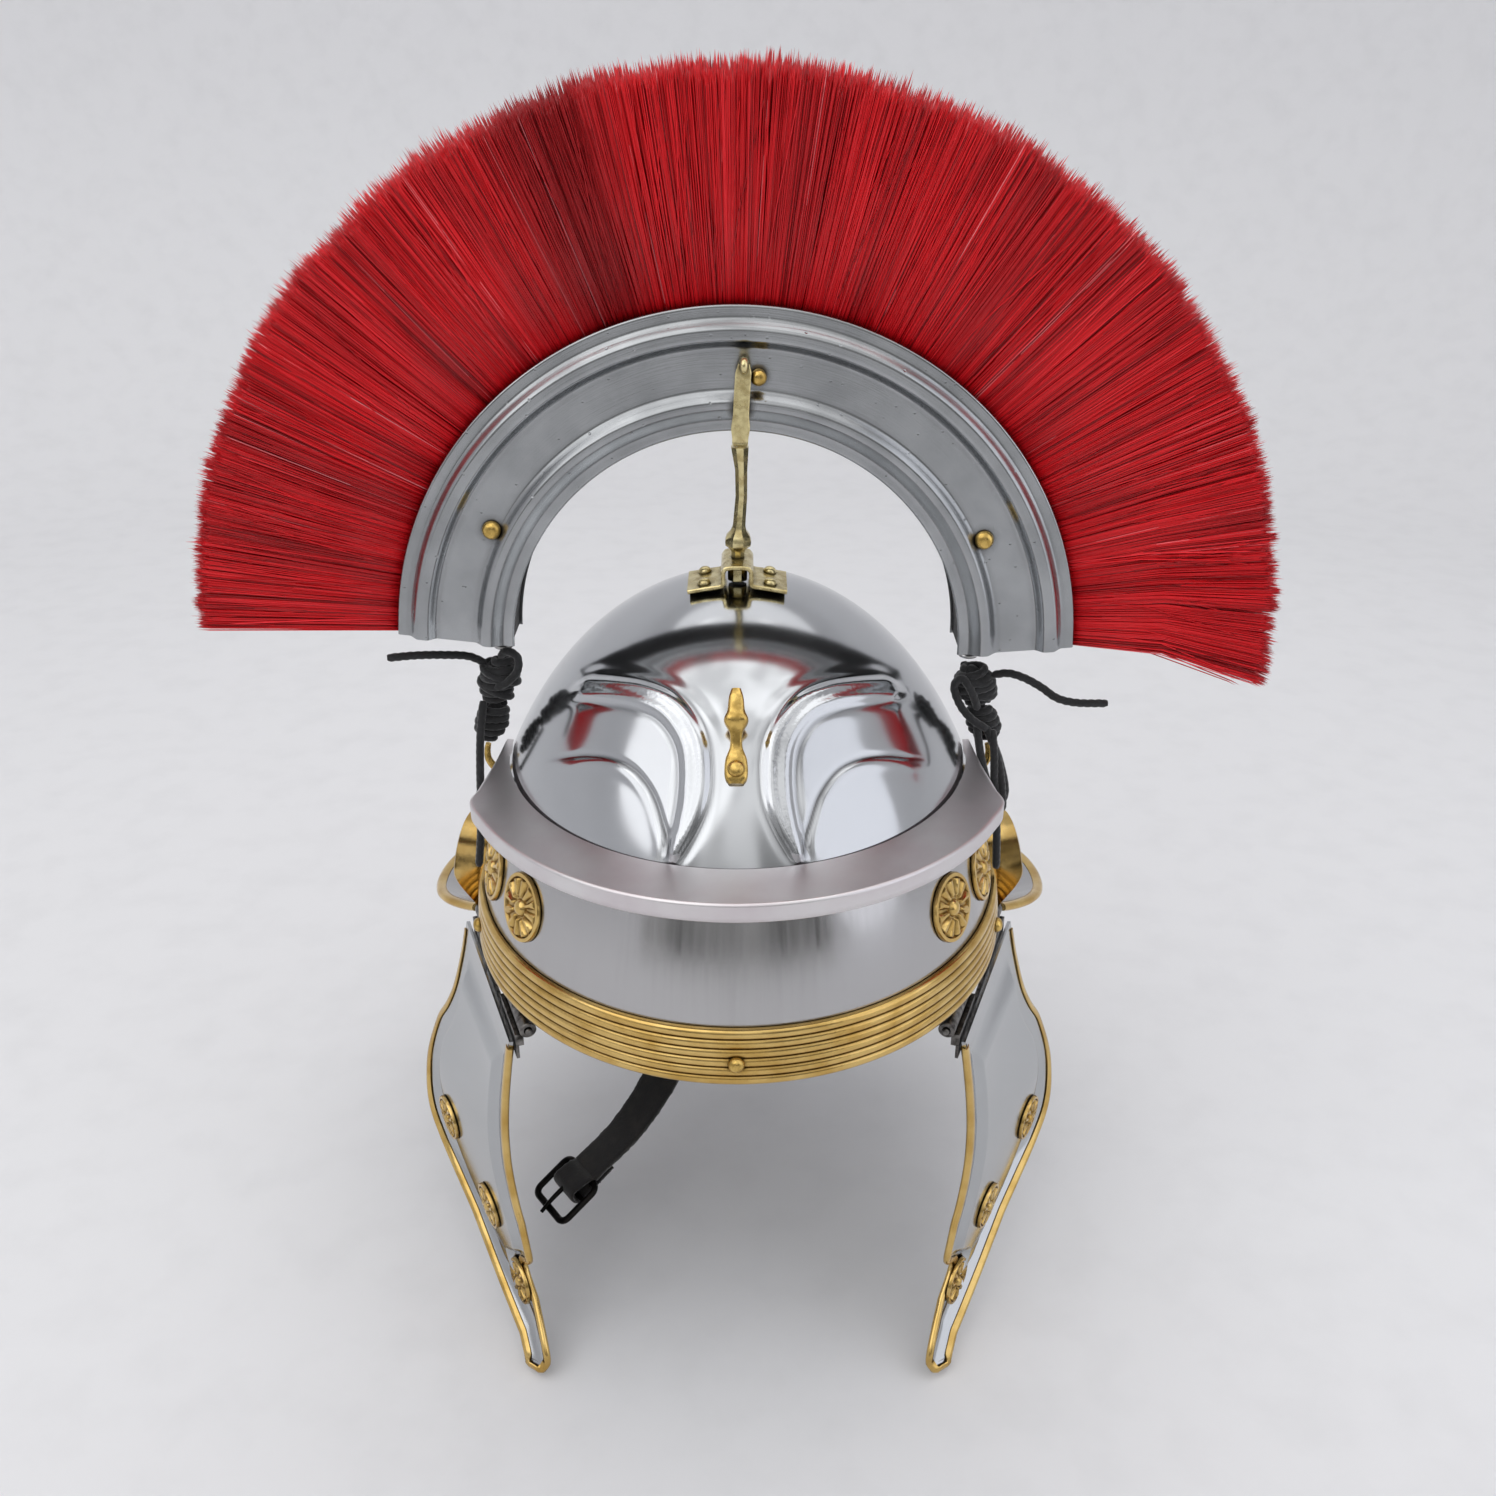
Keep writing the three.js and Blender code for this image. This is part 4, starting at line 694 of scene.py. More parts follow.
@dataclass(frozen=True)
class Bristle(Finish):
    """Dyed horsehair: each strand has its own red, a few strands are painted pale as glints, and some locks
    and one sector are painted dark as shade.
    """

    bright: str = "EC1824"
    middle: str = "D80A18"
    deep: str = "8E040D"
    painted_glint: str = "FF9AA0"
    shaded_degrees: float = 109.0
    reach_mm: float = 105.0

    def dress(self, tree: NodeTree, shader: Node) -> None:
        """Sets the shader.

        Args:
            tree: the material's nodes.
            shader: its surface shader.
        """
        strand = add_node(tree, "NewGeometry").outputs["Random Per Island"]
        # The top of the ramp paints the palest strands as glints: painted highlights.
        stops = [(0.0, hex_to_linear(self.deep)), (0.3, hex_to_linear(self.middle)),
                 (0.85, hex_to_linear(self.bright)), (0.985, hex_to_linear("F6303A")),
                 (1.0, hex_to_linear(self.painted_glint))]
        colour = add_node(tree, "ValToRGB", {"Fac": strand}, stops=stops)
        # One sector of the fan and streaky locks are mixed towards the deep red: painted shade.
        around = self.round_about(tree, (0, -9, 119.4), "XZY", self.reach_mm)
        turn = add_node(tree, "SeparateXYZ", {0: around}).outputs["X"]
        middle = math.radians(self.shaded_degrees) * self.reach_mm * MM
        beside = add_node(tree, "Math", {0: turn, 1: middle}, operation="SUBTRACT")
        beside = add_node(tree, "Math", {0: beside.outputs[0]}, operation="ABSOLUTE")
        painted_sector_shade = self.range(tree, beside.outputs[0], 15 * MM, 5 * MM, 0.0, 0.75)
        locks = self.range(tree, self.noise(tree, 8, (1, 14, 2), 2, around), 0.48, 0.78, 0.0, 0.6)
        shade = add_node(tree, "Math", {0: painted_sector_shade, 1: locks}, operation="MAXIMUM")
        mixed = add_node(tree, "Mix", {0: shade.outputs[0], 6: colour.outputs[0],
                                                 7: hex_to_linear(self.deep)}, data_type="RGBA")
        tree.links.new(mixed.outputs[2], shader.inputs["Base Color"])
        tree.links.new(self.range(tree, strand, 0, 1, 0.3, 0.5), shader.inputs["Roughness"])
        shader.inputs["Specular IOR Level"].default_value = 0.45


@dataclass(frozen=True)
class DarkGoods(Finish):
    """Black organic goods: braided cord, suede leather or painted wood, told apart by their texture."""

    colour: str
    worn: str
    rough: float
    grain_mm: float
    depth_mm: float
    stretch: tuple[float, float, float] = (1.0, 1.0, 1.0)
    sheen: float = 0.0

    def dress(self, tree: NodeTree, shader: Node) -> None:
        """Sets the shader.

        Args:
            tree: the material's nodes.
            shader: its surface shader.
        """
        grain = self.noise(tree, self.grain_mm, self.stretch, 4)
        wear = self.range(tree, self.noise(tree, self.grain_mm * 9, detail=4), 0.45, 0.75)
        tree.links.new(self.blend(tree, wear, self.colour, self.worn), shader.inputs["Base Color"])
        tree.links.new(self.range(tree, grain, 0.2, 0.8, self.rough - 0.1, self.rough + 0.1),
                       shader.inputs["Roughness"])
        tree.links.new(self.bump(tree, grain, self.depth_mm), shader.inputs["Normal"])
        shader.inputs["Sheen Weight"].default_value = self.sheen
        shader.inputs["Sheen Roughness"].default_value = 0.5


# Polished sheet steel: a slightly soft mirror
STEEL = PolishedSteel("mirror_polished_steel")
# The cheek guards' steel: a darker copy of the bowl's, painted shade that dims the bright floor it reflects
SHADED_CHEEK_STEEL = PolishedSteel("mirror_polished_cheek_steel", colour="B4B6B8", shine=0.14,
                            brushed_below_mm=-900.0)
# White-metal bar, filed and left satin: a soft grey blur
SATIN = WorkedMetal("satin_white_metal", "DAD7D8", "D2CBCE", "8A8282", 0.37, 0.05, 24.0, 0.008)
# Sheet steel brushed round the arc, with a few rust pits, and painted shade in its corners and along the
# ribs' feet, mixed with grime
BRUSHED = WorkedMetal("arc_brushed_sheet_steel", "A6A8AA", "96989A", "262422", 0.19, 0.05, 22.0, 0.012,
                      grime_reach_mm=3.2, brushing_mm=0.5, pits=True)
# Blackened steel of the hinges
DARK = WorkedMetal("blackened_hinge_steel", "7E7B78", "34312F", "141210", 0.28, 0.15, 3.0, 0.12)
# Bright hinge parts
BRIGHT = WorkedMetal("bright_turned_steel", "C4C4C4", "A09E9C", "3A3632", 0.22, 0.1, 4.0, 0.05)
# Rolled sheet brass, polished, browned in its corners by painted shade together with grime
BRASS = WorkedMetal("polished_sheet_brass", "D6B673", "BE9A54", "543C18", 0.16, 0.08, 12.0, 0.04)
# Sand-cast brass, rubbed bright on its high parts and nearly black in its corners, from painted shade
# together with grime
CAST = WorkedMetal("aged_cast_brass", "D6B468", "A68848", "3E3218", 0.2, 0.16, 3.0, 0.12, grime_reach_mm=1.6)
# The same casting in a paler alloy: rubbed to a greenish yellow, black in its corners from painted shade
# together with grime
PALE_CAST = WorkedMetal("aged_pale_brass", "DCCE9C", "AC9A6A", "2A2416", 0.2, 0.14, 4.0, 0.12,
                        grime_reach_mm=2.0)
# Horsehair dyed red: each hair has its own red
BRISTLE = Bristle("red_dyed_horsehair")
# Wood painted matt black
WOOD = DarkGoods("black_painted_wood", "0D0D0E", "1C1A19", 0.62, 0.8, 0.05)
# Braided cotton: dull, with a soft rim of light
CORD = DarkGoods("black_braided_cotton_cord", "0E0E10", "1D1D20", 0.78, 0.7, 0.25, sheen=0.3)
# Suede: dull and fuzzy, greyer where it is worn
SUEDE = DarkGoods("black_suede_leather", "171413", "2A2421", 0.86, 0.6, 0.25, sheen=0.35)
# Black enamel on a pressed buckle: glossy, duller and darker in its corners, where painted shade and grime
# are mixed in
ENAMEL = WorkedMetal("black_enamelled_buckle", "1A1918", "262322", "0B0A0A", 0.3, 0.15, 5.0, 0.1)
# Hair packed too close to see single strands, painted a deeper red as the shade inside the fan, and streaked
# outwards
PACKED_SHADE = DarkGoods("packed_red_horsehair", "7A070E", "A80D18", 0.6, 0.8, 0.2)
# Matt paper sweep
PAPER = DarkGoods("matt_white_paper_sweep", "E1E1E3", "DDDDDF", 0.9, 3.0, 0.02)


@dataclass(frozen=True)
class BowlShape:
    """The bowl's main form, which every piece on it follows."""

    half_width: float = 104.0
    half_length: float = 117.0
    height: float = 142.5
    centre_y: float = -7.0
    wall: float = 1.6
    nape_depth: float = 42.0
    guard_reach: float = 78.0
    guard_drop: float = 48.0

    def radius(self, angle: Array, height: Array, outset: float = 0.0) -> Array:
        """Finds the outer face's distance from the centre line.

        Args:
            angle: degrees from the front, to the right.
            height: above the rim.
            outset: how far outside the face.

        Returns:
            The radius.
        """
        turn = np.radians(angle)
        rise = np.minimum(np.maximum(height, 0) / (self.height + outset), 1)
        across = np.sin(turn) / (self.half_width + outset)
        ahead = np.cos(turn) / (self.half_length + outset)
        return np.sqrt(1 - rise**2) / np.hypot(across, ahead)

    def place(self, angle: Array, radius: Array, height: Array) -> Array:
        """Turns an angle, radius and height into places.

        Args:
            angle: degrees from the front, to the right.
            radius: distance from the centre line.
            height: above the rim.

        Returns:
            The places.
        """
        turn = np.radians(angle)
        parts = np.broadcast_arrays(radius * np.sin(turn), self.centre_y - radius * np.cos(turn), height)
        return np.stack(parts, axis=-1).astype(float)

    def normal(self, place: Array) -> Array:
        """Finds the face's outward direction at places on it."""
        scale = np.array([self.half_width, self.half_length, self.height]) ** 2
        moved = place - np.array([0.0, self.centre_y, 0.0])
        moved[..., 2] = np.maximum(moved[..., 2], 0)
        return unit(moved / scale)

    def on(self, angle: Array, height: Array, outset: float = 0.0) -> tuple[Array, Array]:
        """Finds places on the outer face.

        Args:
            angle: degrees from the front, to the right.
            height: above the rim.
            outset: how far the places are lifted off the face.

        Returns:
            The places and their normals.
        """
        place = self.place(angle, self.radius(angle, height), height)
        normal = self.normal(place)
        return place + normal * np.asarray(outset)[..., None], normal

    def nape(self, angle: Array) -> tuple[Array, Array, Array]:
        """Finds the nape wall's depth and the neck guard's reach and drop.

        Args:
            angle: degrees from the front, to the right.

        Returns:
            Depth, reach and drop.
        """
        rows = [(94, 0, 0, 0), (100, 0.2, 0, 0.18), (106, 0.46, 0.2, 0.46), (112, 0.68, 0.5, 0.64),
                (120, 0.84, 0.74, 0.8), (130, 0.95, 0.93, 0.9), (142, 0.99, 1, 0.95), (155, 1, 0.89, 0.98),
                (168, 1, 0.77, 1), (180, 1, 0.72, 1)]
        turn = np.abs((np.asarray(angle) + 180) % 360 - 180)
        depth, reach, drop = (np.maximum(table_value(rows, column, turn), 0) for column in (1, 2, 3))
        depth = depth * self.nape_depth
        return depth, reach * self.guard_reach, np.maximum(drop * self.guard_drop, depth)


BOWL = BowlShape()


@dataclass
class Skull:
    """The steel bowl with its embossed eyebrows, its ear openings, its nape and its neck guard."""

    ridge_width: float = 7.0
    ridge_raise: float = 1.4
    lid_raise: float = 1.25
    swell: float = 1.1
    guard_line: float = 79.0
    ear_y: float = 11.0
    ear_half_width: float = 21.0
    ear_height: float = 25.0
    ridge: tuple[tuple[float, float], ...] = (
        (68, 0.765), (56, 0.795), (44, 0.818), (32, 0.83), (22, 0.824), (15.5, 0.8), (11.6, 0.765),
        (9.9, 0.715), (9.7, 0.66), (10.8, 0.605), (12.4, 0.555), (13.6, 0.5))
    step: tuple[tuple[float, float], ...] = (
        (66, 0.585), (58, 0.615), (49, 0.655), (41, 0.685), (33, 0.7), (26, 0.694), (20, 0.66),
        (16.5, 0.61), (14.4, 0.56), (13.9, 0.5))

    def line_on_bowl(self, rows: Rows) -> Array:
        """Draws an eyebrow line on the right half of the bowl.

        Args:
            rows: degrees from the front, and height as a share of the bowl's.

        Returns:
            The line's points.
        """
        table = np.array(rows)
        place, _ = BOWL.on(table[:, 0], table[:, 1] * BOWL.height)
        line = curve_through(place, 400)
        height = line[:, 2]
        angle = np.degrees(np.arctan2(line[:, 0], -(line[:, 1] - BOWL.centre_y)))
        return BOWL.on(angle, height)[0]

    def distance(self, line: Array, places: Array) -> tuple[Array, Array]:
        """Measures how far places lie above a line.

        Args:
            line: the line's points, from the temple inwards.
            places: the places.

        Returns:
            The distance, positive above the line, and the share along it.
        """
        middle = (line[:-1] + line[1:]) / 2
        run = unit(line[1:] - line[:-1])
        best = np.full(len(places), 1e9)
        index = np.zeros(len(places), int)
        for number, point in enumerate(middle):
            gap = ((places - point) ** 2).sum(axis=1)
            closer = gap < best
            best[closer], index[closer] = gap[closer], number
        offset = places - middle[index]
        along = (offset * run[index]).sum(axis=1)
        above = unit(np.cross(BOWL.normal(middle), run))
        side = (offset * above[index]).sum(axis=1)
        half = np.linalg.norm(line[1] - line[0]) / 2
        beyond = np.maximum(np.abs(along) - half, 0)
        far = np.hypot(side, beyond) * np.where(side < 0, -1.0, 1.0)
        return far, (index + 0.5) / len(middle)

    def relief(self, angle: Array, height: Array) -> tuple[Array, Array]:
        """Finds the embossing's height over the plain bowl.

        Args:
            angle: degrees from the front.
            height: above the rim.

        Returns:
            The height, and a mark: up to 1 where it is hammered, down to -1 in the creases, which the finish
                paints dark as shade.
        """
        flat_angle, flat_height = np.abs(angle).ravel(), height.ravel()
        raised = np.zeros(len(flat_angle))
        rough = np.zeros(len(flat_angle))
        near = (flat_angle < 78) & (flat_height > 0.46 * BOWL.height) & (flat_height < 0.92 * BOWL.height)
        spots = BOWL.on(flat_angle[near], flat_height[near])[0]
        upper, along = self.distance(self.line_on_bowl(self.ridge), spots)
        lower, _ = self.distance(self.line_on_bowl(self.step), spots)
        fade = smooth_step(along / 0.14)
        half = self.ridge_width / 2 * (0.35 + 0.65 * fade) * (1 - 0.75 * smooth_step((along - 0.72) / 0.28))
        shoulder = np.abs(upper) - half
        band = 1 - smooth_step((shoulder + 0.9) / 3.2)
        ridge = fade * (self.ridge_raise * band - 0.16 * smooth_step(-(shoulder + 1.4) / 1.8))
        valley = 0.16 * fade * np.exp(-((shoulder - 3.0) / 1.4) ** 2)
        temple = 1 - smooth_step((flat_angle[near] - 43) / 15)
        lid = self.lid_raise * smooth_step(-upper / 3.5) * smooth_step((lower + 1.0) / 3.0) * temple
        crease = 0.22 * np.exp(-((lower - 2.2) / 1.8) ** 2) - 0.55 * np.exp(-((lower + 1.1) / 1.1) ** 2)
        upward = np.exp(-(np.maximum(upper - half, 0) / 9) ** 2) * smooth_step((upper + half + 9) / 9)
        swell = self.swell * fade * upward * (1 - smooth_step((along - 0.42) / 0.35))
        shown = smooth_step((flat_height[near] - self.guard_line + 4.5) / 4.5)
        raised[near] = shown * (ridge - valley + (1 - band) * lid + crease * temple + swell)
        # The mark goes below 0 in the creases at the eyebrows' feet and under the lids, which the finish
        # paints dark as shade.
        foot = 0.5 * fade * np.exp(-((shoulder - 2.9) / 0.7) ** 2)
        groove_shade = np.maximum(temple * np.exp(-((lower + 0.7) / 0.8) ** 2), foot)
        rough[near] = fade * smooth_step(-(shoulder + 0.6) / 0.5) - shown * groove_shade
        return raised.reshape(angle.shape), rough.reshape(angle.shape)

    def build(self) -> None:
        """Builds the bowl with its openings."""
        front = np.arange(-76, 76.01, 0.46)
        sides = np.concatenate([np.arange(78.5, 94, 2.5), np.arange(94, 120, 1.3),
                                np.arange(120, 180.1, 2.4)])
        angle = np.unique(np.round(np.concatenate([front, sides, 360 - sides, [180.0]]) % 360, 4))
        turn = angle[:, None]
        slopes = np.radians(np.concatenate([np.linspace(0, 28, 14), np.linspace(28.6, 60, 112),
                                            np.linspace(61.5, 90, 22)]))
        height = BOWL.height * np.cos(slopes)[None, :] * np.ones_like(turn)
        height[:, -1] = 0
        raised, rough = self.relief(np.abs((turn + 180) % 360 - 180) * np.ones_like(height), height)
        outer = BOWL.on(turn * np.ones_like(height), height, raised)[0]
        depth, reach, drop = BOWL.nape(angle)
        rim = BOWL.radius(angle, 0.0)
        inside = BOWL.radius(angle, 0.0, -BOWL.wall)
        turned = BOWL.wall * smooth_step(reach / 12)
        share = np.linspace(0, 1, 13)[1:]
        wall_down = [BOWL.place(angle, rim, -depth * s) for s in share[:8] / share[7]]
        guard = [BOWL.place(angle, rim + reach * s, -depth - (drop - depth) * s**0.85) for s in share]
        back = [BOWL.place(angle, rim + reach * s - 0.01, -depth - turned - (drop - depth) * s**0.85)
                for s in share[::-1]]
        back_wall = [BOWL.place(angle, inside, -(depth + turned) * s) for s in np.linspace(1, 0, 7)]
        inner_slopes = np.radians(np.linspace(88, 0, 30))
        inner = [BOWL.place(angle, BOWL.radius(angle, 0.0, -BOWL.wall) * math.sin(slope),
                            (BOWL.height - BOWL.wall) * math.cos(slope)) for slope in inner_slopes]
        columns = np.concatenate([outer.transpose(1, 0, 2),
                                  np.array(wall_down + guard + back + back_wall + inner)])
        marks = np.zeros(columns.shape[:2])
        marks[: len(slopes)] = rough.T
        draft = MeshDraft().grid(columns, wrap=True, marks=marks)
        piece = draft.build("helmet_bowl", STEEL, 50)
        for side in Side:
            self.cut_ear(piece, side)
        dress(piece, Body.ROOT, ["bowl"])
        LOG.info("bowl: %d faces", len(piece.data.polygons))

    def cut_ear(self, piece: Object, side: Side) -> None:
        """Cuts one ear opening.

        Args:
            piece: the bowl.
            side: which side.
        """
        depth = self.ear_height + BOWL.nape_depth / 4
        turn = np.linspace(0, 2 * math.pi, 96, endpoint=False)
        ring = np.stack([np.zeros(96), self.ear_y + self.ear_half_width * np.cos(turn),
                         self.ear_height - depth + depth * np.sin(turn)], axis=1)
        rings = np.stack([ring + [side.value * x, 0, 0] for x in (85.0, 122.0)])
        cutter = MeshDraft().grid(rings, wrap=True, caps=True).build("ear_cutter", STEEL)
        change = piece.modifiers.new("ear", "BOOLEAN")
        change.operation, change.object, change.solver = "DIFFERENCE", cutter, "EXACT"
        graph = bpy.context.evaluated_depsgraph_get()
        piece.data = bpy.data.meshes.new_from_object(piece.evaluated_get(graph))
        piece.modifiers.clear()
        bpy.data.objects.remove(cutter)


@dataclass
class BrowFittings:
    """What is fixed round the brow: the guard, the ribbed rim band, rivets, rosettes and hooks."""

    gap: float = 0.3
    guard_height: float = 74.0
    guard_width: float = 23.0
    guard_wall: float = 1.8
    guard_lip: float = 5.0
    trim_height: float = 22.0
    trim_wall: float = 1.4
    trim_rib: float = 0.9
    trim_ribs: int = 6
    trim_end: float = 87.0
    rosette_radius: float = 13.0
    rosette_raise: float = 2.6
    flange_reach: float = 13.0
    flange_flare: float = 5.0
    hook_share: float = 0.695
    hook_length: float = 21.0
    hook_width: float = 8.4

    def brow_guard(self) -> None:
        """Builds the bar across the brow, with its flat top and rolled lip."""
        rows = [(0, 1), (20, 0.98), (40, 0.92), (55, 0.86), (62, 0.83), (66, 0.62), (74, 0.34), (82, 0.17),
                (90, 0.09)]
        angle = np.linspace(-90, 90, 241)
        width = table_value(rows, 1, np.abs(angle)) * self.guard_width
        inner = BOWL.radius(angle, self.guard_height) + 2 * self.gap
        outer = inner + width
        lip = self.guard_lip * smooth_step(width / self.guard_width / 0.6)
        wall = np.minimum(self.guard_wall, width / 2)
        top = self.guard_height + self.guard_wall
        bead = np.minimum(1.2, width * 0.2)
        section = [(inner, self.guard_height + 0 * angle), (inner, top + 0 * angle),
                   (outer - wall * 2.6, top + 0 * angle)]
        for turn in np.radians(np.linspace(100, -20, 9)):
            section.append((outer - bead + bead * math.cos(turn), top - bead + 0.25 + bead * math.sin(turn)))
        section += [(outer - 0.1, self.guard_height - lip * 0.5),
                    (outer - 0.15, self.guard_height - lip + 0.5),
                    (outer - 0.5, self.guard_height - lip), (outer - wall + 0.3, self.guard_height - lip),
                    (outer - wall, self.guard_height - lip + 0.4), (outer - wall, self.guard_height - 0.6),
                    (outer - wall - 0.6, self.guard_height + 0 * angle)]
        rings = np.stack([BOWL.place(angle, radius, height) for radius, height in section], axis=1)
        piece = MeshDraft().grid(rings, wrap=True, caps=True).build("brow_bar", SATIN, 40)
        dress(piece, Body.ROOT, ["brow_guard"])

    def rim_trim(self) -> None:
        """Builds the brass band of rounded ribs along the rim."""
        angle = np.linspace(-self.trim_end, self.trim_end, 261)
        section: list[tuple[float, float]] = [(0.0, self.gap), (self.trim_height, self.gap)]
        rib = self.trim_height / self.trim_ribs
        for number in range(self.trim_ribs):
            high = self.trim_height - number * rib
            for turn in np.linspace(0, math.pi, 9)[(0 if number == 0 else 1):]:
                bulge = math.sin(turn) ** 0.7
                section.append((high - rib / 2 + rib / 2 * math.cos(turn),
                                self.gap + self.trim_wall * 0.55 + (self.trim_wall * 0.45 + self.trim_rib)
                                * bulge))
        rings = np.stack([BOWL.place(angle, BOWL.radius(angle, height + 0 * angle, outset),
                                     height + 0 * angle)
                          for height, outset in section], axis=1)
        piece = MeshDraft().grid(rings, wrap=True, caps=True).build("ribbed_rim_band", BRASS, 60)
        dress(piece, Body.ROOT, ["rim_trim"])

    def rivets(self) -> None:
        """Builds the domed rivets of the rim band."""
        for name, angle in (("front", 0.0), ("left", -73.0), ("right", 73.0)):
            lift = 2 * self.gap + self.trim_wall + self.trim_rib - 0.8
            place, normal = BOWL.on(np.array(angle), np.array(9.0), lift)
            draft = rivet(MeshDraft(), place, normal, 3.0, 3.0)
            piece = draft.build(f"rim_band_rivet_{name}", CAST, 50)
            dress(piece, Body.ROOT, [f"rim_rivet_{name}"])

    def rosettes(self) -> None:
        """Builds the four rosettes of the brow band, bent to the bowl."""
        for side in Side:
            for name, angle in (("brow", 48.5), ("ear", 66.5)):
                place, normal = BOWL.on(np.array(side.value * angle), np.array(41.0), self.gap)

                def onto(points: Array, lift: Array, foot: Array = place) -> Array:
                    """Bends flat places to the bowl's face."""
                    turn = np.degrees(np.arctan2(points[..., 0], -(points[..., 1] - BOWL.centre_y)))
                    face, out = BOWL.on(turn, points[..., 2])
                    return face + out * (self.gap + lift)[..., None]

                draft = rosette(place, normal, self.rosette_radius, self.rosette_raise, onto)
                piece = draft.build(f"brow_band_rosette_{name}_{side.word}", BRASS, 45)
                dress(piece, Body.ROOT, [f"rosette_{name}_{side.word}"])

    def ear_guards(self) -> None:
        """Builds the brass flanges over the ear openings."""
        for side in Side:
            turn = math.pi * np.linspace(0.04, 0.96, 65)
            reach = self.flange_reach * (0.12 + 0.88 * smooth_step(np.sin(turn) / 0.6))
            rows = []
            outline = [(0.0, 0.0), (0.5, 0.35), (0.86, 0.8), (1.0, 1.0), (1.03, 1.18), (1.0, 1.34),
                       (0.84, 1.12), (0.5, 0.7), (0.0, 0.32)]
            for outward, flare in outline:
                grown = flare * self.flange_flare + self.gap
                y = Skull.ear_y - (Skull.ear_half_width + grown) * np.cos(turn)
                z = (Skull.ear_height + grown) * np.sin(turn)
                away = ((y - BOWL.centre_y) / BOWL.half_length) ** 2
                wall = BOWL.half_width * np.sqrt(1 - np.minimum(z / BOWL.height, 1) ** 2 - away)
                rows.append(np.stack([side.value * (wall + 0.6 + outward * reach), y, z], axis=1))
            piece = MeshDraft().grid(np.stack(rows, axis=1), wrap=True, caps=True).build(
                f"ear_flange_{side.word}", BRASS, 50)
            dress(piece, Body.ROOT, [f"ear_guard_{side.word}"])

    def front_hook(self) -> None:
        """Builds the cast hook on the brow with its riveted foot."""
        rows = [(0, 0.3, 0.3, 0), (0.08, 0.46, 0.4, 0), (0.3, 0.44, 0.42, 0), (0.45, 0.26, 0.42, 0.06),
                (0.6, 0.28, 0.5, 0.3), (0.7, 0.5, 0.7, 0.42), (0.8, 0.36, 0.55, 0.6),
                (0.92, 0.3, 0.45, 0.85),
                (1, 0.2, 0.3, 0.98)]
        foot, length, width = self.hook_share * BOWL.height, self.hook_length, self.hook_width
        rings = []
        turns = np.linspace(0, 2 * math.pi, 24, endpoint=False)
        for share in np.linspace(0, 1, 41):
            half, thick, lift = (float(table_value(rows, column, share)) * width for column in (1, 2, 3))
            place, normal = BOWL.on(np.array(0.0), np.array(foot + share * length), self.gap)
            across = np.sign(np.cos(turns)) * np.abs(np.cos(turns)) ** 0.7 * half
            out = lift + thick / 2 + np.sign(np.sin(turns)) * np.abs(np.sin(turns)) ** 0.7 * thick / 2
            rings.append(place + across[:, None] * np.array([1.0, 0, 0]) + out[:, None] * normal)
        draft = MeshDraft().grid(np.array(rings), wrap=True, caps=True)
        place, normal = BOWL.on(np.array(0.0), np.array(foot + 0.18 * length), 3.0)
        rivet(draft, place, normal, 3.0, 2.4)
        dress(draft.build("brow_hook", CAST, 45), Body.ROOT, ["front_hook"])

    def side_hooks(self) -> None:
        """Builds the bent wire hooks for the tie cords."""
        for side in Side:
            place, normal = BOWL.on(np.array(side.value * 90.0), np.array(63.0), self.gap)
            route = [(0.0, 0), (3.25, -1), (6.2, 1.8), (6.5, 5.4), (5.85, 9)]
            line = curve_through([place + normal * out + UP * rise for out, rise in route], 30)
            radius = 1.5 * (1.15 - 0.4 * np.linspace(0, 1, 31))
            draft = MeshDraft().tube(line, radius, 14)
            rivet(draft, place, normal, 3.2, 1.4)
            dress(draft.build(f"cord_hook_{side.word}", CAST, 50), Body.ROOT,
                  [f"side_hook_{side.word}"])

    def build(self) -> None:
        """Builds every fitting round the brow."""
        self.brow_guard()
        self.rim_trim()
        self.rivets()
        self.rosettes()
        self.ear_guards()
        self.front_hook()
        self.side_hooks()


def rivet(draft: MeshDraft, place: Array, normal: Array, radius: float, rise: float) -> MeshDraft:
    """Adds a domed rivet head.

    Args:
        draft: the mesh that gets it.
        place: its foot.
        normal: its axis.
        radius: its radius.
        rise: its height.

    Returns:
        The draft.
    """
    turn = np.linspace(0, math.pi / 2, 9)[1:]
    dome = [(radius * math.cos(t) ** 0.8, rise * (0.12 + 0.88 * math.sin(t))) for t in turn[:-1]]
    profile = [(0.0, 0.0), (radius * 0.97, 0.0), (radius, rise * 0.12), *dome, (0.0, rise)]
    return draft.turned(profile, place, normal, 28)


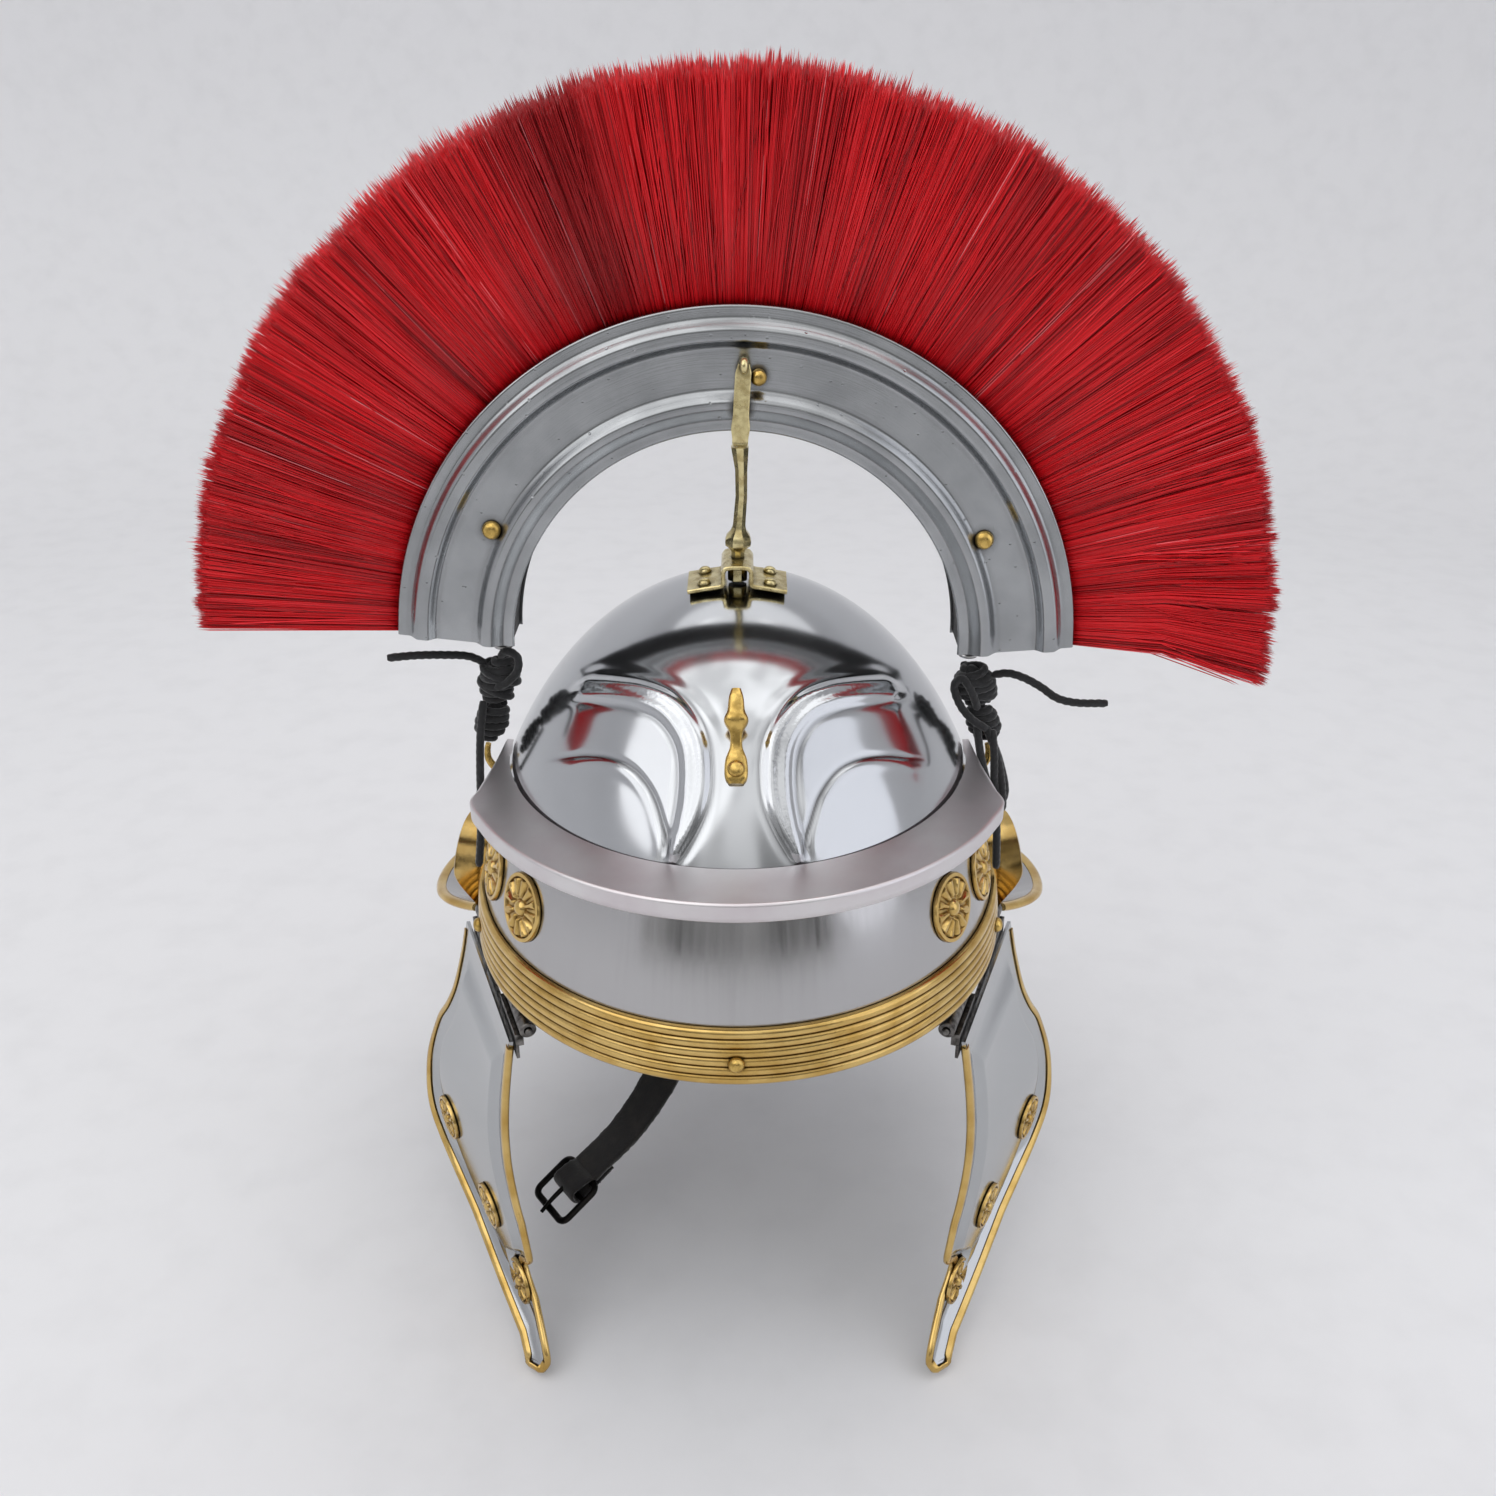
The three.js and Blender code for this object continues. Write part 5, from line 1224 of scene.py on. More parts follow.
def rosette(place: Array, normal: Array, radius: float, rise: float,
            onto: Callable[[Array, Array], Array]) -> MeshDraft:
    """Draws a pressed rosette: a rim, twelve spoon-shaped petals and a boss.

    Args:
        place: its foot.
        normal: its axis.
        radius: its radius.
        rise: its height.
        onto: bends flat places and heights to what carries them.

    Returns:
        The mesh draft.
    """
    first, second, _ = seat_frame(normal)
    shares = np.concatenate([[0.0], np.linspace(0.05, 0.3, 7), np.linspace(0.33, 1.0, 22)])
    turn = np.linspace(0, 2 * math.pi, 96, endpoint=False)
    share, around = np.meshgrid(shares, turn, indexing="ij")
    wave = np.cos(12 * around)
    boss = 1.0 * np.sqrt(np.clip(1 - (share / 0.25) ** 2, 0, 1))
    spoon = smooth_step((share - 0.3) / 0.08) * (1 - smooth_step((share - 0.8) / 0.06))
    lobe = 0.5 + 0.5 * np.clip(wave * (1.0 + 1.2 * share) + 0.6 * (share - 0.5), -1, 1)
    rim = smooth_step((share - 0.82) / 0.05) * (1 - smooth_step((share - 0.97) / 0.03))
    height = rise * np.maximum.reduce([boss, 0.16 + 0.5 * spoon * lobe, 0.5 * rim, 0.14 + 0 * share])
    flat = place + radius * share[..., None] * (
        np.cos(around)[..., None] * first + np.sin(around)[..., None] * second)
    face = onto(flat, height)
    back = onto(flat[-1:], np.zeros_like(height[-1:]))
    middle = onto(flat[:1], np.zeros_like(height[:1]))
    return MeshDraft().grid(np.concatenate([face, back, middle]), wrap=True)


@dataclass
class NeckEdge:
    """The flat brass band folded over the edge of the neck guard."""

    start: float = 106.5
    radius: float = 2.1

    def build(self) -> None:
        """Builds the band."""
        angle = np.linspace(self.start, 360 - self.start, 161)
        _, reach, drop = BOWL.nape(angle)
        edge = BOWL.place(angle, BOWL.radius(angle, 0.0) + reach, -drop - BOWL.wall / 2)
        run = unit(np.gradient(edge, axis=0))
        outward = unit(np.cross(run, UP))
        outward *= np.sign((outward * (edge - [0, BOWL.centre_y, 0])).sum(axis=1))[:, None]
        over = unit(np.cross(outward, run))
        over *= np.sign(over[:, 2:])
        outline = [(-2.4, 1.0), (-2.0, 1.5), (0.4, 1.75), (1.5, 1.4), (2.2, 0.5), (2.3, -0.5), (1.6, -1.4),
                   (0.4, -1.75), (-2.0, -1.5), (-2.4, -1.0), (-0.2, -0.98), (0.15, -0.5), (0.15, 0.5),
                   (-0.2, 0.98)]
        rings = np.stack([edge + outward * (0.3 + x) + over * y for x, y in outline], axis=1)
        piece = MeshDraft().grid(rings, wrap=True, caps=True).build("neck_edge_band", BRASS, 50)
        dress(piece, Body.ROOT, ["neck_trim"])


@dataclass
class CheekGuard:
    """One hinged cheek guard: the embossed plate, its brass edge, rosettes and hinge."""

    side: Side
    depth: float = 156.0
    width: float = 91.0
    wall: float = 1.5
    emboss: float = 3.0
    rosette_radius: float = 10.0
    knuckle: float = 3.2
    outline: tuple[tuple[float, float, float], ...] = (
        (0.012, 0.0, 0.99), (0.06, 0.01, 0.965), (0.12, 0.035, 0.945), (0.21, 0.062, 0.925),
        (0.27, 0.04, 0.918), (0.33, -0.012, 0.917), (0.43, -0.035, 0.93), (0.54, -0.012, 0.968),
        (0.62, 0.045, 1.015), (0.69, 0.15, 1.04), (0.725, 0.23, 1.0), (0.765, 0.35, 0.91),
        (0.8, 0.46, 0.895), (0.85, 0.61, 0.98), (0.9, 0.76, 1.1), (0.95, 0.93, 1.185), (1.0, 1.12, 1.19))

    def __post_init__(self) -> None:
        """Finds the hinge line's directions."""
        self.rear = np.array([self.side.value * 109.0, 0.0, -7.0])
        front = np.array([self.side.value * 78.0, -86.0, -7.0])
        self.span = float(np.linalg.norm(front - self.rear))
        self.along = (front - self.rear) / self.span
        self.outward = np.array([-self.along[1] * self.side.value, self.along[0] * self.side.value, 0.0])

    def edges(self, down: Array) -> tuple[Array, Array]:
        """Finds the rear and front edge at a depth."""
        share = np.asarray(down) / self.depth
        return tuple(table_value(self.outline, column, share) * self.width for column in (1, 2))

    def spot(self, along: Array, down: Array) -> Array:
        """Finds places on the inner face of the plain plate.

        Args:
            along: distance forwards from the rear edge of the hinge.
            down: distance below the hinge.

        Returns:
            The places.
        """
        fall = down / self.depth
        bow = 4 * np.sin(math.pi * np.minimum(fall / 0.8, 1))
        flare = 16 * smooth_step(fall / 0.48) * (1 - np.minimum(along / self.width, 1))
        rim = np.maximum(1 - (along - self.edges(down)[0]) / (self.width * 0.18), 0)
        edge = 7 * smooth_step((fall - 0.35) / 0.3) * rim**2
        out = (5 + bow + flare + edge)[..., None] * self.outward
        place = self.rear + along[..., None] * self.along + out
        return place - down[..., None] * UP

    def on(self, along: Array, down: Array, lift: Array) -> tuple[Array, Array]:
        """Finds places over the plate.

        Args:
            along: distance from the hinge line's rear end.
            down: distance below it.
            lift: height over the inner face.

        Returns:
            The places and their normals.
        """
        place = self.spot(along, down)
        normal = unit(np.cross(self.spot(along + 1, down) - place, self.spot(along, down + 1) - place))
        normal *= np.sign((normal * self.outward).sum(axis=-1))[..., None]
        return place + normal * np.asarray(lift)[..., None], normal

    def lift(self, along: Array, down: Array) -> Array:
        """Finds the raised panel's height.

        Args:
            along: distance forwards from the rear edge of the hinge.
            down: distance below the hinge.

        Returns:
            The height over the plain plate.
        """
        rear, front = self.edges(down)
        inset, ease = self.width * 0.13, self.width * 0.055
        rises = [smooth_step((along - rear - inset) / ease), smooth_step((front - along - inset / 2) / ease),
                 smooth_step((down - self.depth * 0.09) / (2.2 * ease)),
                 smooth_step((self.depth * 0.86 - down) / ease)]
        return self.emboss * np.minimum.reduce(rises)

    def plate(self) -> None:
        """Builds the steel plate."""
        down = np.linspace(0.034, 1, 150) * self.depth
        rear, front = self.edges(down)
        share = np.concatenate([np.linspace(0, 0.3, 40), np.linspace(0.31, 0.8, 26),
                                np.linspace(0.81, 1, 26)])
        along = rear[:, None] + (front - rear)[:, None] * share
        deep = down[:, None] * np.ones_like(along)
        lift = self.lift(along, deep)
        face = self.on(along, deep, lift + self.wall)[0]
        back = self.on(along, deep, lift)[0][:, ::-1]
        piece = MeshDraft().grid(np.concatenate([face, back], axis=1), wrap=True, caps=True).build(
            f"cheek_guard_{self.side.word}", SHADED_CHEEK_STEEL, 40)
        dress(piece, self.side.cheek, [f"cheek_plate_{self.side.word}"])

    def trim(self) -> None:
        """Builds the flat brass band folded over the rear, lower and front edge."""
        down = np.linspace(0.055, 1, 120) * self.depth
        rear, front = self.edges(down)
        along = np.concatenate([rear, front[::-1]])
        deep = np.concatenate([down, down[::-1]])
        flat = even_steps(np.stack([along, deep, 0 * deep], axis=1), 260)
        run = unit(np.gradient(flat, axis=0))
        inward = np.stack([run[:, 1], -run[:, 0]], axis=1)
        place, normal = self.on(flat[:, 0], flat[:, 1], np.full(len(flat), self.wall / 2))
        travel = unit(np.gradient(place, axis=0))
        across = np.cross(travel, normal)
        inner, _ = self.on(flat[:, 0] + inward[:, 0], flat[:, 1] + inward[:, 1], np.full(len(flat), 0.75))
        across *= np.sign((across * (inner - place)).sum(axis=1))[:, None]
        outline = [(2.2, 1.0), (2.0, 1.4), (0.4, 1.5), (-0.7, 1.2), (-1.2, 0.5), (-1.2, -0.5), (-0.7, -1.2),
                   (0.4, -1.5), (2.0, -1.4), (2.2, -1.0), (0.4, -0.92), (-0.25, -0.5), (-0.25, 0.5),
                   (0.4, 0.92)]
        rings = np.stack([place + across * x + normal * y for x, y in outline], axis=1)
        piece = MeshDraft().grid(rings, wrap=True, caps=True).build(
            f"cheek_edge_band_{self.side.word}", BRASS, 50)
        dress(piece, self.side.cheek, [f"cheek_trim_{self.side.word}"])

    def rosettes(self) -> None:
        """Builds the three rosettes of the guard."""
        for name, along, down in (("upper", 0.24, 0.56), ("middle", 0.68, 0.67), ("lower", 0.88, 0.85)):
            at = np.array(along * self.width), np.array(down * self.depth)
            place, normal = self.on(*at, self.wall + self.lift(*at) + 0.35)

            def onto(points: Array, lift: Array, axis: Array = normal) -> Array:
                """Raises flat places along the seat's normal."""
                return points + lift[..., None] * axis

            draft = rosette(place, normal, self.rosette_radius, 2.6, onto)
            draft.tube(np.array([place - normal * 1.0, place + normal * 0.2]), 2.4, 12)
            piece = draft.build(f"cheek_rosette_{name}_{self.side.word}", BRASS, 45)
            dress(piece, self.side.cheek, [f"rosette_{name}_{self.side.word}"])

    def barrel(self, draft: MeshDraft, start: float, end: float, bore: float) -> None:
        """Adds one hinge knuckle.

        Args:
            draft: the mesh that gets it.
            start: its start as a share of the hinge line.
            end: its end.
            bore: the radius of its bore.
        """
        foot = self.rear + self.along * self.span * start
        length = self.span * (end - start)
        edge = 0.35
        profile = [(bore, 0.0), (self.knuckle - edge, 0.0), (self.knuckle, edge),
                   (self.knuckle, length - edge),
                   (self.knuckle - edge, length), (bore, length), (bore, 0.0)]
        first, second, axis = seat_frame(self.along)
        rows = np.array(profile)
        turn = np.linspace(0, 2 * math.pi, 40, endpoint=False)
        spread = np.cos(turn)[None, :, None] * first + np.sin(turn)[None, :, None] * second
        draft.grid(foot + rows[:, 0, None, None] * spread + rows[:, 1, None, None] * axis, wrap=True)

    def block(self, draft: MeshDraft, ends: Sequence[float], out: Sequence[float],
              high: Sequence[float]) -> None:
        """Adds a flat leaf in the hinge line's directions.

        Args:
            draft: the mesh that gets it.
            ends: its start and end as shares of the hinge line.
            out: its inner and outer face.
            high: its bottom and top.
        """
        edge = 0.25
        rings = []
        for share, trim in ((ends[0], edge), (ends[0] + edge / self.span, 0),
                            (ends[1] - edge / self.span, 0),
                            (ends[1], edge)):
            foot = self.rear + self.along * self.span * share
            corners = [(out[0] + trim, high[0] + trim), (out[1] - trim, high[0] + trim),
                       (out[1] - trim, high[1] - trim), (out[0] + trim, high[1] - trim)]
            rings.append([foot + self.outward * x + UP * z for x, z in corners])
        draft.grid(np.array(rings), wrap=True, caps=True)

    def hinge(self) -> None:
        """Builds the hinge's swinging half, its fixed half and its pin."""
        gap = 0.15 / self.span
        swing = MeshDraft()
        inner, outer = self.knuckle + 0.3, self.knuckle + 1.5
        self.block(swing, (0.02, 0.98), (inner, outer), (-13.0, -6.4))
        for start, end in ((0 + gap, 1 / 3 - gap), (2 / 3 + gap, 1 - gap)):
            self.barrel(swing, start, end, 1.65)
            self.block(swing, (max(start, 0.02), min(end, 0.98)), (self.knuckle - 1.6, outer),
                       (-7.4, -2.2))
        dress(swing.build(f"hinge_leaf_{self.side.word}", DARK, 40), self.side.cheek,
              [f"hinge_swing_{self.side.word}"])
        fixed = MeshDraft()
        self.barrel(fixed, 1 / 3 + gap, 2 / 3 - gap, 1.65)
        self.block(fixed, (1 / 3 + gap, 2 / 3 - gap), (-0.9, 1.3), (2.2, 10.5))
        dress(fixed.build(f"hinge_middle_{self.side.word}", BRIGHT, 40), Body.ROOT,
              [f"hinge_fixed_{self.side.word}"])
        foot, end = (self.rear + self.along * self.span * share for share in (-0.012, 1.012))
        pin = MeshDraft().turned([(0, 0), (0.9, 0), (1.3, 0.4), (1.3, np.linalg.norm(end - foot) - 0.4),
                                  (0.9, np.linalg.norm(end - foot)), (0, np.linalg.norm(end - foot))],
                                 foot, self.along, 24)
        dress(pin.build(f"hinge_rod_{self.side.word}", DARK, 40), Body.ROOT,
              [f"hinge_pin_{self.side.word}"])

    def build(self) -> None:
        """Builds the guard."""
        self.plate()
        self.trim()
        self.rosettes()
        self.hinge()


@dataclass
class Crest:
    """The crest's holder: black core, steel arcs, fork, bracket, bolts, rivets and eyelets."""

    centre_y: float = -9.0
    height: float = 119.4
    inner: float = 83.1
    outer: float = 126.2
    wall: float = 1.3
    ridge: float = 3.2
    core_thickness: float = 21.0
    core_outer: float = 119.0
    end_rise: float = 4.0
    lean_degrees: float = 1.2
    rivet_degrees: float = 27.0

    def lean(self, points: Array) -> Array:
        """Leans places on the crest to the right, as the whole crest leans.

        Args:
            points: the places on an upright crest.

        Returns:
            The leaning places.
        """
        turn = math.radians(self.lean_degrees)
        pivot = np.array([0.0, self.centre_y, BOWL.height])
        moved = np.asarray(points, float) - pivot
        x = moved[..., 0] * math.cos(turn) + moved[..., 2] * math.sin(turn)
        z = -moved[..., 0] * math.sin(turn) + moved[..., 2] * math.cos(turn)
        return np.stack([x, moved[..., 1], z], axis=-1) + pivot

    def place(self, radius: Array, angle: Array, y: Array) -> Array:
        """Finds places by radius, angle from the right-hand end, and distance behind the middle."""
        parts = np.broadcast_arrays(radius * np.cos(angle), self.centre_y + y,
                                    self.height + radius * np.sin(angle))
        return self.lean(np.stack(parts, axis=-1))

    def arc(self, section: Rows, steps: int, trim: float = 0.0) -> MeshDraft:
        """Sweeps a section of radius and distance from end to end.

        Args:
            section: rows of radius and distance behind the middle.
            steps: how many steps the arc has.
            trim: how far its ends are cut back.

        Returns:
            The mesh draft.
        """
        rows = np.asarray(section, float)
        share = (rows[:, 0] - self.inner) / (self.outer - self.inner)
        start = np.arcsin((self.end_rise * share + trim) / rows[:, 0])
        at = np.linspace(0, 1, steps + 1)[:, None]
        return MeshDraft().grid(self.place(rows[:, 0], start + (math.pi - 2 * start) * at, rows[:, 1]),
                                wrap=True, caps=True)

    def plates(self) -> None:
        """Builds the brushed steel arcs on both faces, with their raised ribs."""
        rows = [(0, 0), (0.1, 0), (0.18, 1), (0.26, 1), (0.34, 0), (0.66, 0), (0.75, 1), (0.8, 1),
                (0.92, 0), (1, 0)]
        share = np.linspace(0.012, 0.988, 70)
        width = self.outer - self.inner
        raised = np.clip(table_value(rows, 1, share), 0, 1) * self.ridge
        back = self.core_thickness / 2 + 0.3
        for name, facing in (("front", -1), ("back", 1)):
            face = [(self.outer - s * width, facing * (back + self.wall + r)) for s, r in zip(share, raised)]
            section = [(self.outer, facing * back), (self.outer, facing * (back + self.wall - 0.4)), *face,
                       (self.inner, facing * (back + self.wall - 0.4)), (self.inner, facing * back)]
            piece = self.arc(section, 200).build(f"crest_arc_{name}", BRUSHED, 55)
            dress(piece, Body.ROOT, [f"crest_plate_{name}"])

    def core(self) -> None:
        """Builds the black block between the arcs."""
        half, low = self.core_thickness / 2, self.inner + 1
        section = [(low, -half + 0.8), (low + 0.8, -half), (self.core_outer - 0.8, -half),
                   (self.core_outer, -half + 0.8), (self.core_outer, half - 0.8),
                   (self.core_outer - 0.8, half), (low + 0.8, half), (low, half - 0.8)]
        dress(self.arc(section, 160, 0.6).build("crest_block", WOOD, 35), Body.ROOT,
              ["crest_core"])

    def rivets(self) -> None:
        """Builds the ball-headed bolts of the fork and the rivets of the arcs."""
        face = self.core_thickness / 2 + 0.3 + self.wall
        for name, facing in (("front", -1), ("back", 1)):
            normal = np.array([0.0, facing, 0.0])
            spot = self.lean(np.array([6.0, self.centre_y + facing * (face + 0.1),
                                       self.height + self.inner + 19.4]))
            bolt = MeshDraft().turned([(0, 0), (2.5, 0), (2.6, 1.4), (1.9, 2.0), (2.6, 2.5), (2.9, 3.4),
                                       (2.5, 4.5), (1.5, 5.1), (0, 5.4)], spot, normal, 28)
            dress(bolt.build(f"crest_bolt_{name}", CAST, 40), Body.ROOT, [f"fork_bolt_{name}"])
            for side in Side:
                angle = math.radians(self.rivet_degrees)
                angle = angle if side is Side.RIGHT else math.pi - angle
                spot = self.place(99.9, angle, facing * (face + 0.1))
                piece = rivet(MeshDraft(), spot, normal, 3.5, 3.0).build(
                    f"crest_stud_{name}_{side.word}", CAST, 50)
                dress(piece, Body.ROOT, [f"crest_rivet_{name}_{side.word}"])

    def eyelets(self) -> None:
        """Builds the steel rings under the crest's ends."""
        turn = np.linspace(0, 2 * math.pi, 49)[:-1]
        for side in Side:
            rings = []
            for t in turn:
                out = np.array([math.cos(t), math.sin(t), 0.0])
                spin = np.linspace(0, 2 * math.pi, 16, endpoint=False)
                centre = np.array([side.value * 89.1, self.centre_y, 115.2])
                rings.append(centre + out * (3 + 0.9 * np.cos(spin))[:, None] + UP
                             * (0.9 * np.sin(spin))[:, None])
            rings.append(rings[0])
            stem = np.array([[side.value * 89.1, self.centre_y + 3.2, 115.2], [side.value * 89.1,
                            self.centre_y + 4.6, 116.4], [side.value * 89.1, self.centre_y + 4.6, 121.5]])
            draft = MeshDraft().grid(self.lean(np.array(rings)), wrap=True)
            draft.tube(self.lean(even_steps(stem, 8)), 0.85, 12)
            dress(draft.build(f"crest_ring_{side.word}", BRIGHT, 50), Body.ROOT,
                  [f"crest_eyelet_{side.word}"])

    def bracket(self) -> None:
        """Builds the omega-shaped strap on the crown with its four rivets."""
        seat = BOWL.height + 0.7
        end_seat = seat - BOWL.height * (1 - math.sqrt(1 - (18.4 / BOWL.half_width) ** 2)) + 0.3
        line = [(-18.4, end_seat + 0.8), (-12, (seat + end_seat) / 2 + 1.0), (-6.6, seat + 0.85),
                (-5.4, seat + 1.4), (-5.2, seat + 2.6), (-5.2, seat + 6.6), (-4.2, seat + 7.9),
                (-2, seat + 8.2),
                (0, seat + 8.2)]
        line += [(-x, z) for x, z in line[-2::-1]]
        middle = even_steps(np.array([[x, 0.0, z] for x, z in line]), 90)
        normal = np.cross(unit(np.gradient(middle, axis=0)), np.array([0.0, 1.0, 0.0]))
        rings = []
        for centre, out in zip(middle, -normal):
            outline = [(-10.6, -0.8), (10.6, -0.8), (11, -0.4), (11, 0.4), (10.6, 0.8), (-10.6, 0.8),
                       (-11, 0.4),
                       (-11, -0.4)]
            rings.append([centre + np.array([0, self.centre_y + y, 0]) + out * z for y, z in outline])
        draft = MeshDraft().grid(np.array(rings), wrap=True, caps=True)
        for side_x in (-1, 1):
            for side_y in (-1, 1):
                spot = np.array([side_x * 12.2, self.centre_y + side_y * 6.6, (seat + end_seat) / 2 + 1.6])
                rivet(draft, spot, np.array([side_x * 0.12, 0, 1.0]), 2.5, 2.4)
        dress(draft.build("crown_strap", PALE_CAST, 40), Body.ROOT, ["crest_bracket"])

    def fork(self) -> None:
        """Builds the fork: a foot that hooks under the bracket, a waisted post, a yoke and two tines."""
        seat = BOWL.height + 0.7
        draft = MeshDraft()
        turned = [(0, 0), (3.6, 0), (3.9, 0.5), (3.9, 5.6), (3.4, 6.2), (2.6, 6.4), (2.6, 11), (3.2, 12.2),
                  (5.0, 13.6), (5.2, 15.2), (4.6, 17.2), (3.1, 19), (2.5, 21), (2.3, 32), (2.4, 42),
                  (3.2, 48.6),
                  (3.4, 50.4), (0, 50.6)]
        rings = []
        for radius, rise in turned:
            faces = np.arange(8) / 8 * 2 * math.pi + math.pi / 8
            bend = 0.9 * math.sin(math.pi * min(max((rise - 18) / 32, 0), 1))
            rings.append([[bend + radius * math.cos(t), self.centre_y + radius * math.sin(t),
                           seat + 0.3 + rise]
                          for t in faces])
        draft.grid(self.lean(np.array(rings)), wrap=True, caps=True)
        face = self.core_thickness / 2 + 0.3 + self.wall + self.ridge + 0.3
        top = self.height + self.inner - 1.0
        low = top - 2.6
        route = [(-face - 1.6, 227.1), (-face - 1.6, 214), (-face - 1.6, 205), (-face - 1.4, low + 1.4),
                 (-face + 0.8, low), (-8, low), (8, low), (face - 0.8, low), (face + 1.4, low + 1.4),
                 (face + 1.6, 205), (face + 1.6, 214), (face + 1.6, 227.1)]
        line = even_steps(np.array([[0.0, self.centre_y + y, z] for y, z in route]), 150)
        out = np.cross(unit(np.gradient(line, axis=0)), np.array([1.0, 0, 0]))
        travelled = np.linspace(-1, 1, len(line))
        rings = []
        for centre, direction, at in zip(line, out, travelled):
            end = smooth_step((1 - abs(at)) / 0.08)
            half = 2.0 + 0.75 * float(end) + 0.5 * math.exp(-((abs(at) - 0.5) / 0.06) ** 2)
            shift = 0.9 * abs(at) ** 3
            outline = [(-half, -1.3), (-half + 0.4, -1.6), (half - 0.4, -1.6), (half, -1.3), (half, 1.3),
                       (half - 0.4, 1.6), (-half + 0.4, 1.6), (-half, 1.3)]
            rings.append([centre + np.array([x + shift, 0, 0]) + direction * y for x, y in outline])
        draft.grid(self.lean(np.array(rings)), wrap=True, caps=True)
        for facing in (-1, 1):
            turn = np.linspace(0, 1.6 * math.pi, 26)
            y = facing * (face + 1.6 + 1.7 * (1 - np.cos(turn)))
            curl = np.stack([0.9 + 0 * turn, self.centre_y + y, 226.4 + 1.7 * np.sin(turn)], axis=1)
            draft.tube(self.lean(curl), np.linspace(1.9, 1.0, 26), 14)
        dress(draft.build("crest_prongs", PALE_CAST, 35), Body.ROOT, ["crest_fork"])

    def build(self) -> None:
        """Builds the crest's holder."""
        self.plates()
        self.core()
        self.rivets()
        self.eyelets()
        self.bracket()
        self.fork()


@dataclass
class Plume:
    """The fan of dyed horsehair: loose strands over a backing of packed hair, painted darker as the shade
    inside the fan.
    """

    crest: Crest
    strands: int = 25500
    bundles: int = 3
    radius: float = 206.0
    tip_thickness: float = 34.0
    sag_left: float = 0.5
    sag_right: float = 5.0
    strand_radius: float = 0.3
    tufts_round: int = 210
    tufts_deep: int = 9
    backing_short: float = 17.0

    def place(self, share: Array, at: Array, y: Array, length: Array) -> Array:
        """Finds places in the fan.

        Args:
            share: from the right end at 0 to the left end at 1.
            at: from the root at 0 to the tips at 1.
            y: distance behind the middle.
            length: the strand's length.

        Returns:
            The places.
        """
        start = math.asin(self.crest.end_rise / self.crest.outer) + 0.005
        spread = np.abs(1 - 2 * share) ** 6
        sag = np.where(share < 0.5, -self.sag_right, self.sag_left)
        angle = start + (math.pi - 2 * start) * share + np.radians(sag) * spread * at**2
        return self.crest.place(self.crest.core_outer + 0.3 + at * length, angle, y)

    def backing(self) -> None:
        """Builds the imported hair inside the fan."""
        share = np.linspace(0.004, 0.996, 260)
        fluted = 1 + 0.05 * np.sin(share * 900)
        length = (self.radius - self.crest.core_outer - 0.3 - self.backing_short) * np.ones_like(share)
        rows = []
        outline = [(0, 0.46), (0.3, 0.52), (0.6, 0.6), (0.85, 0.66), (0.97, 0.5)]
        for facing, steps in ((-1, outline), (1, outline[::-1])):
            for at, thick in steps:
                y = facing * thick * self.tip_thickness / 2 * fluted
                rows.append(self.place(share, at * np.ones_like(share), y, length))
        # The backing's deep red is painted shade inside the fan.
        piece = MeshDraft().grid(np.stack(rows, axis=1), wrap=True, caps=True).build(
            "plume_packed_hair", PACKED_SHADE, 60)
        dress(piece, Body.ROOT)

    def draw_strands(self) -> tuple[Array, Array]:
        """Draws the strands' centre lines.

        Returns:
            Places, strands by 4 by 3, and each strand's radius.
        """
        chance = np.random.default_rng(26)
        count = self.strands
        share = chance.uniform(0.0, 1.0, count)
        layer = chance.uniform(0, 1, count)
        inside = chance.uniform(-1, 1, count)
        depth = np.where(layer < 0.42, -1 + 0.22 * chance.random(count),
                         np.where(layer < 0.72, 1 - 0.22 * chance.random(count), inside))
        tuft_share = (np.floor(share * self.tufts_round) + 0.5) / self.tufts_round
        tuft_depth = (np.floor((depth + 1) / 2 * self.tufts_deep) + 0.5) / self.tufts_deep * 2 - 1
        key = (np.floor(share * self.tufts_round) * 31 + np.floor((depth + 1) * 4.5)).astype(int) % 4001
        wander = np.random.default_rng(7).normal(0, 1, (4001, 3))[key]
        slow = 0.45 * np.sin(share * 57) + 0.3 * np.sin(share * 131 + 1)
        stray = chance.random(count) < 0.05
        full = self.radius - self.crest.core_outer - 0.3
        tip_rim = 1 - 0.055 * depth**2
        length = full * tip_rim - 2.6 + wander[:, 0] * 0.65 + slow + chance.normal(0, 0.7, count)
        length = np.where(stray, length + chance.uniform(-14, 2.5, count), length)
        length = np.minimum(length, full + 2.0)
        gather = 0.42
        drift = chance.normal(0, 0.0011, count) + np.where(stray, chance.normal(0, 0.012, count), 0)
        lines = []
        for at in (0.0, 0.5, 0.95, 1.0):
            pull = gather * smooth_step((at - 0.2) / 0.8)
            round_share = share + (tuft_share + wander[:, 1] * 0.0008 - share) * pull + drift * at
            thick = np.interp(at, [0, 0.12, 0.5, 0.97, 1], [0.5, 0.54, 0.8, 0.97, 0.94])
            across = depth + (tuft_depth - depth) * pull * 0.5 + wander[:, 2] * 0.03 * at
            across = np.clip(across, -1.04, 1.04)
            y = across * thick * self.tip_thickness / 2
            lines.append(self.place(np.clip(round_share, 0.0, 1.0), np.full(count, at), y, length))
        return np.stack(lines, axis=1), self.strand_radius * chance.uniform(0.6, 1.25, count)

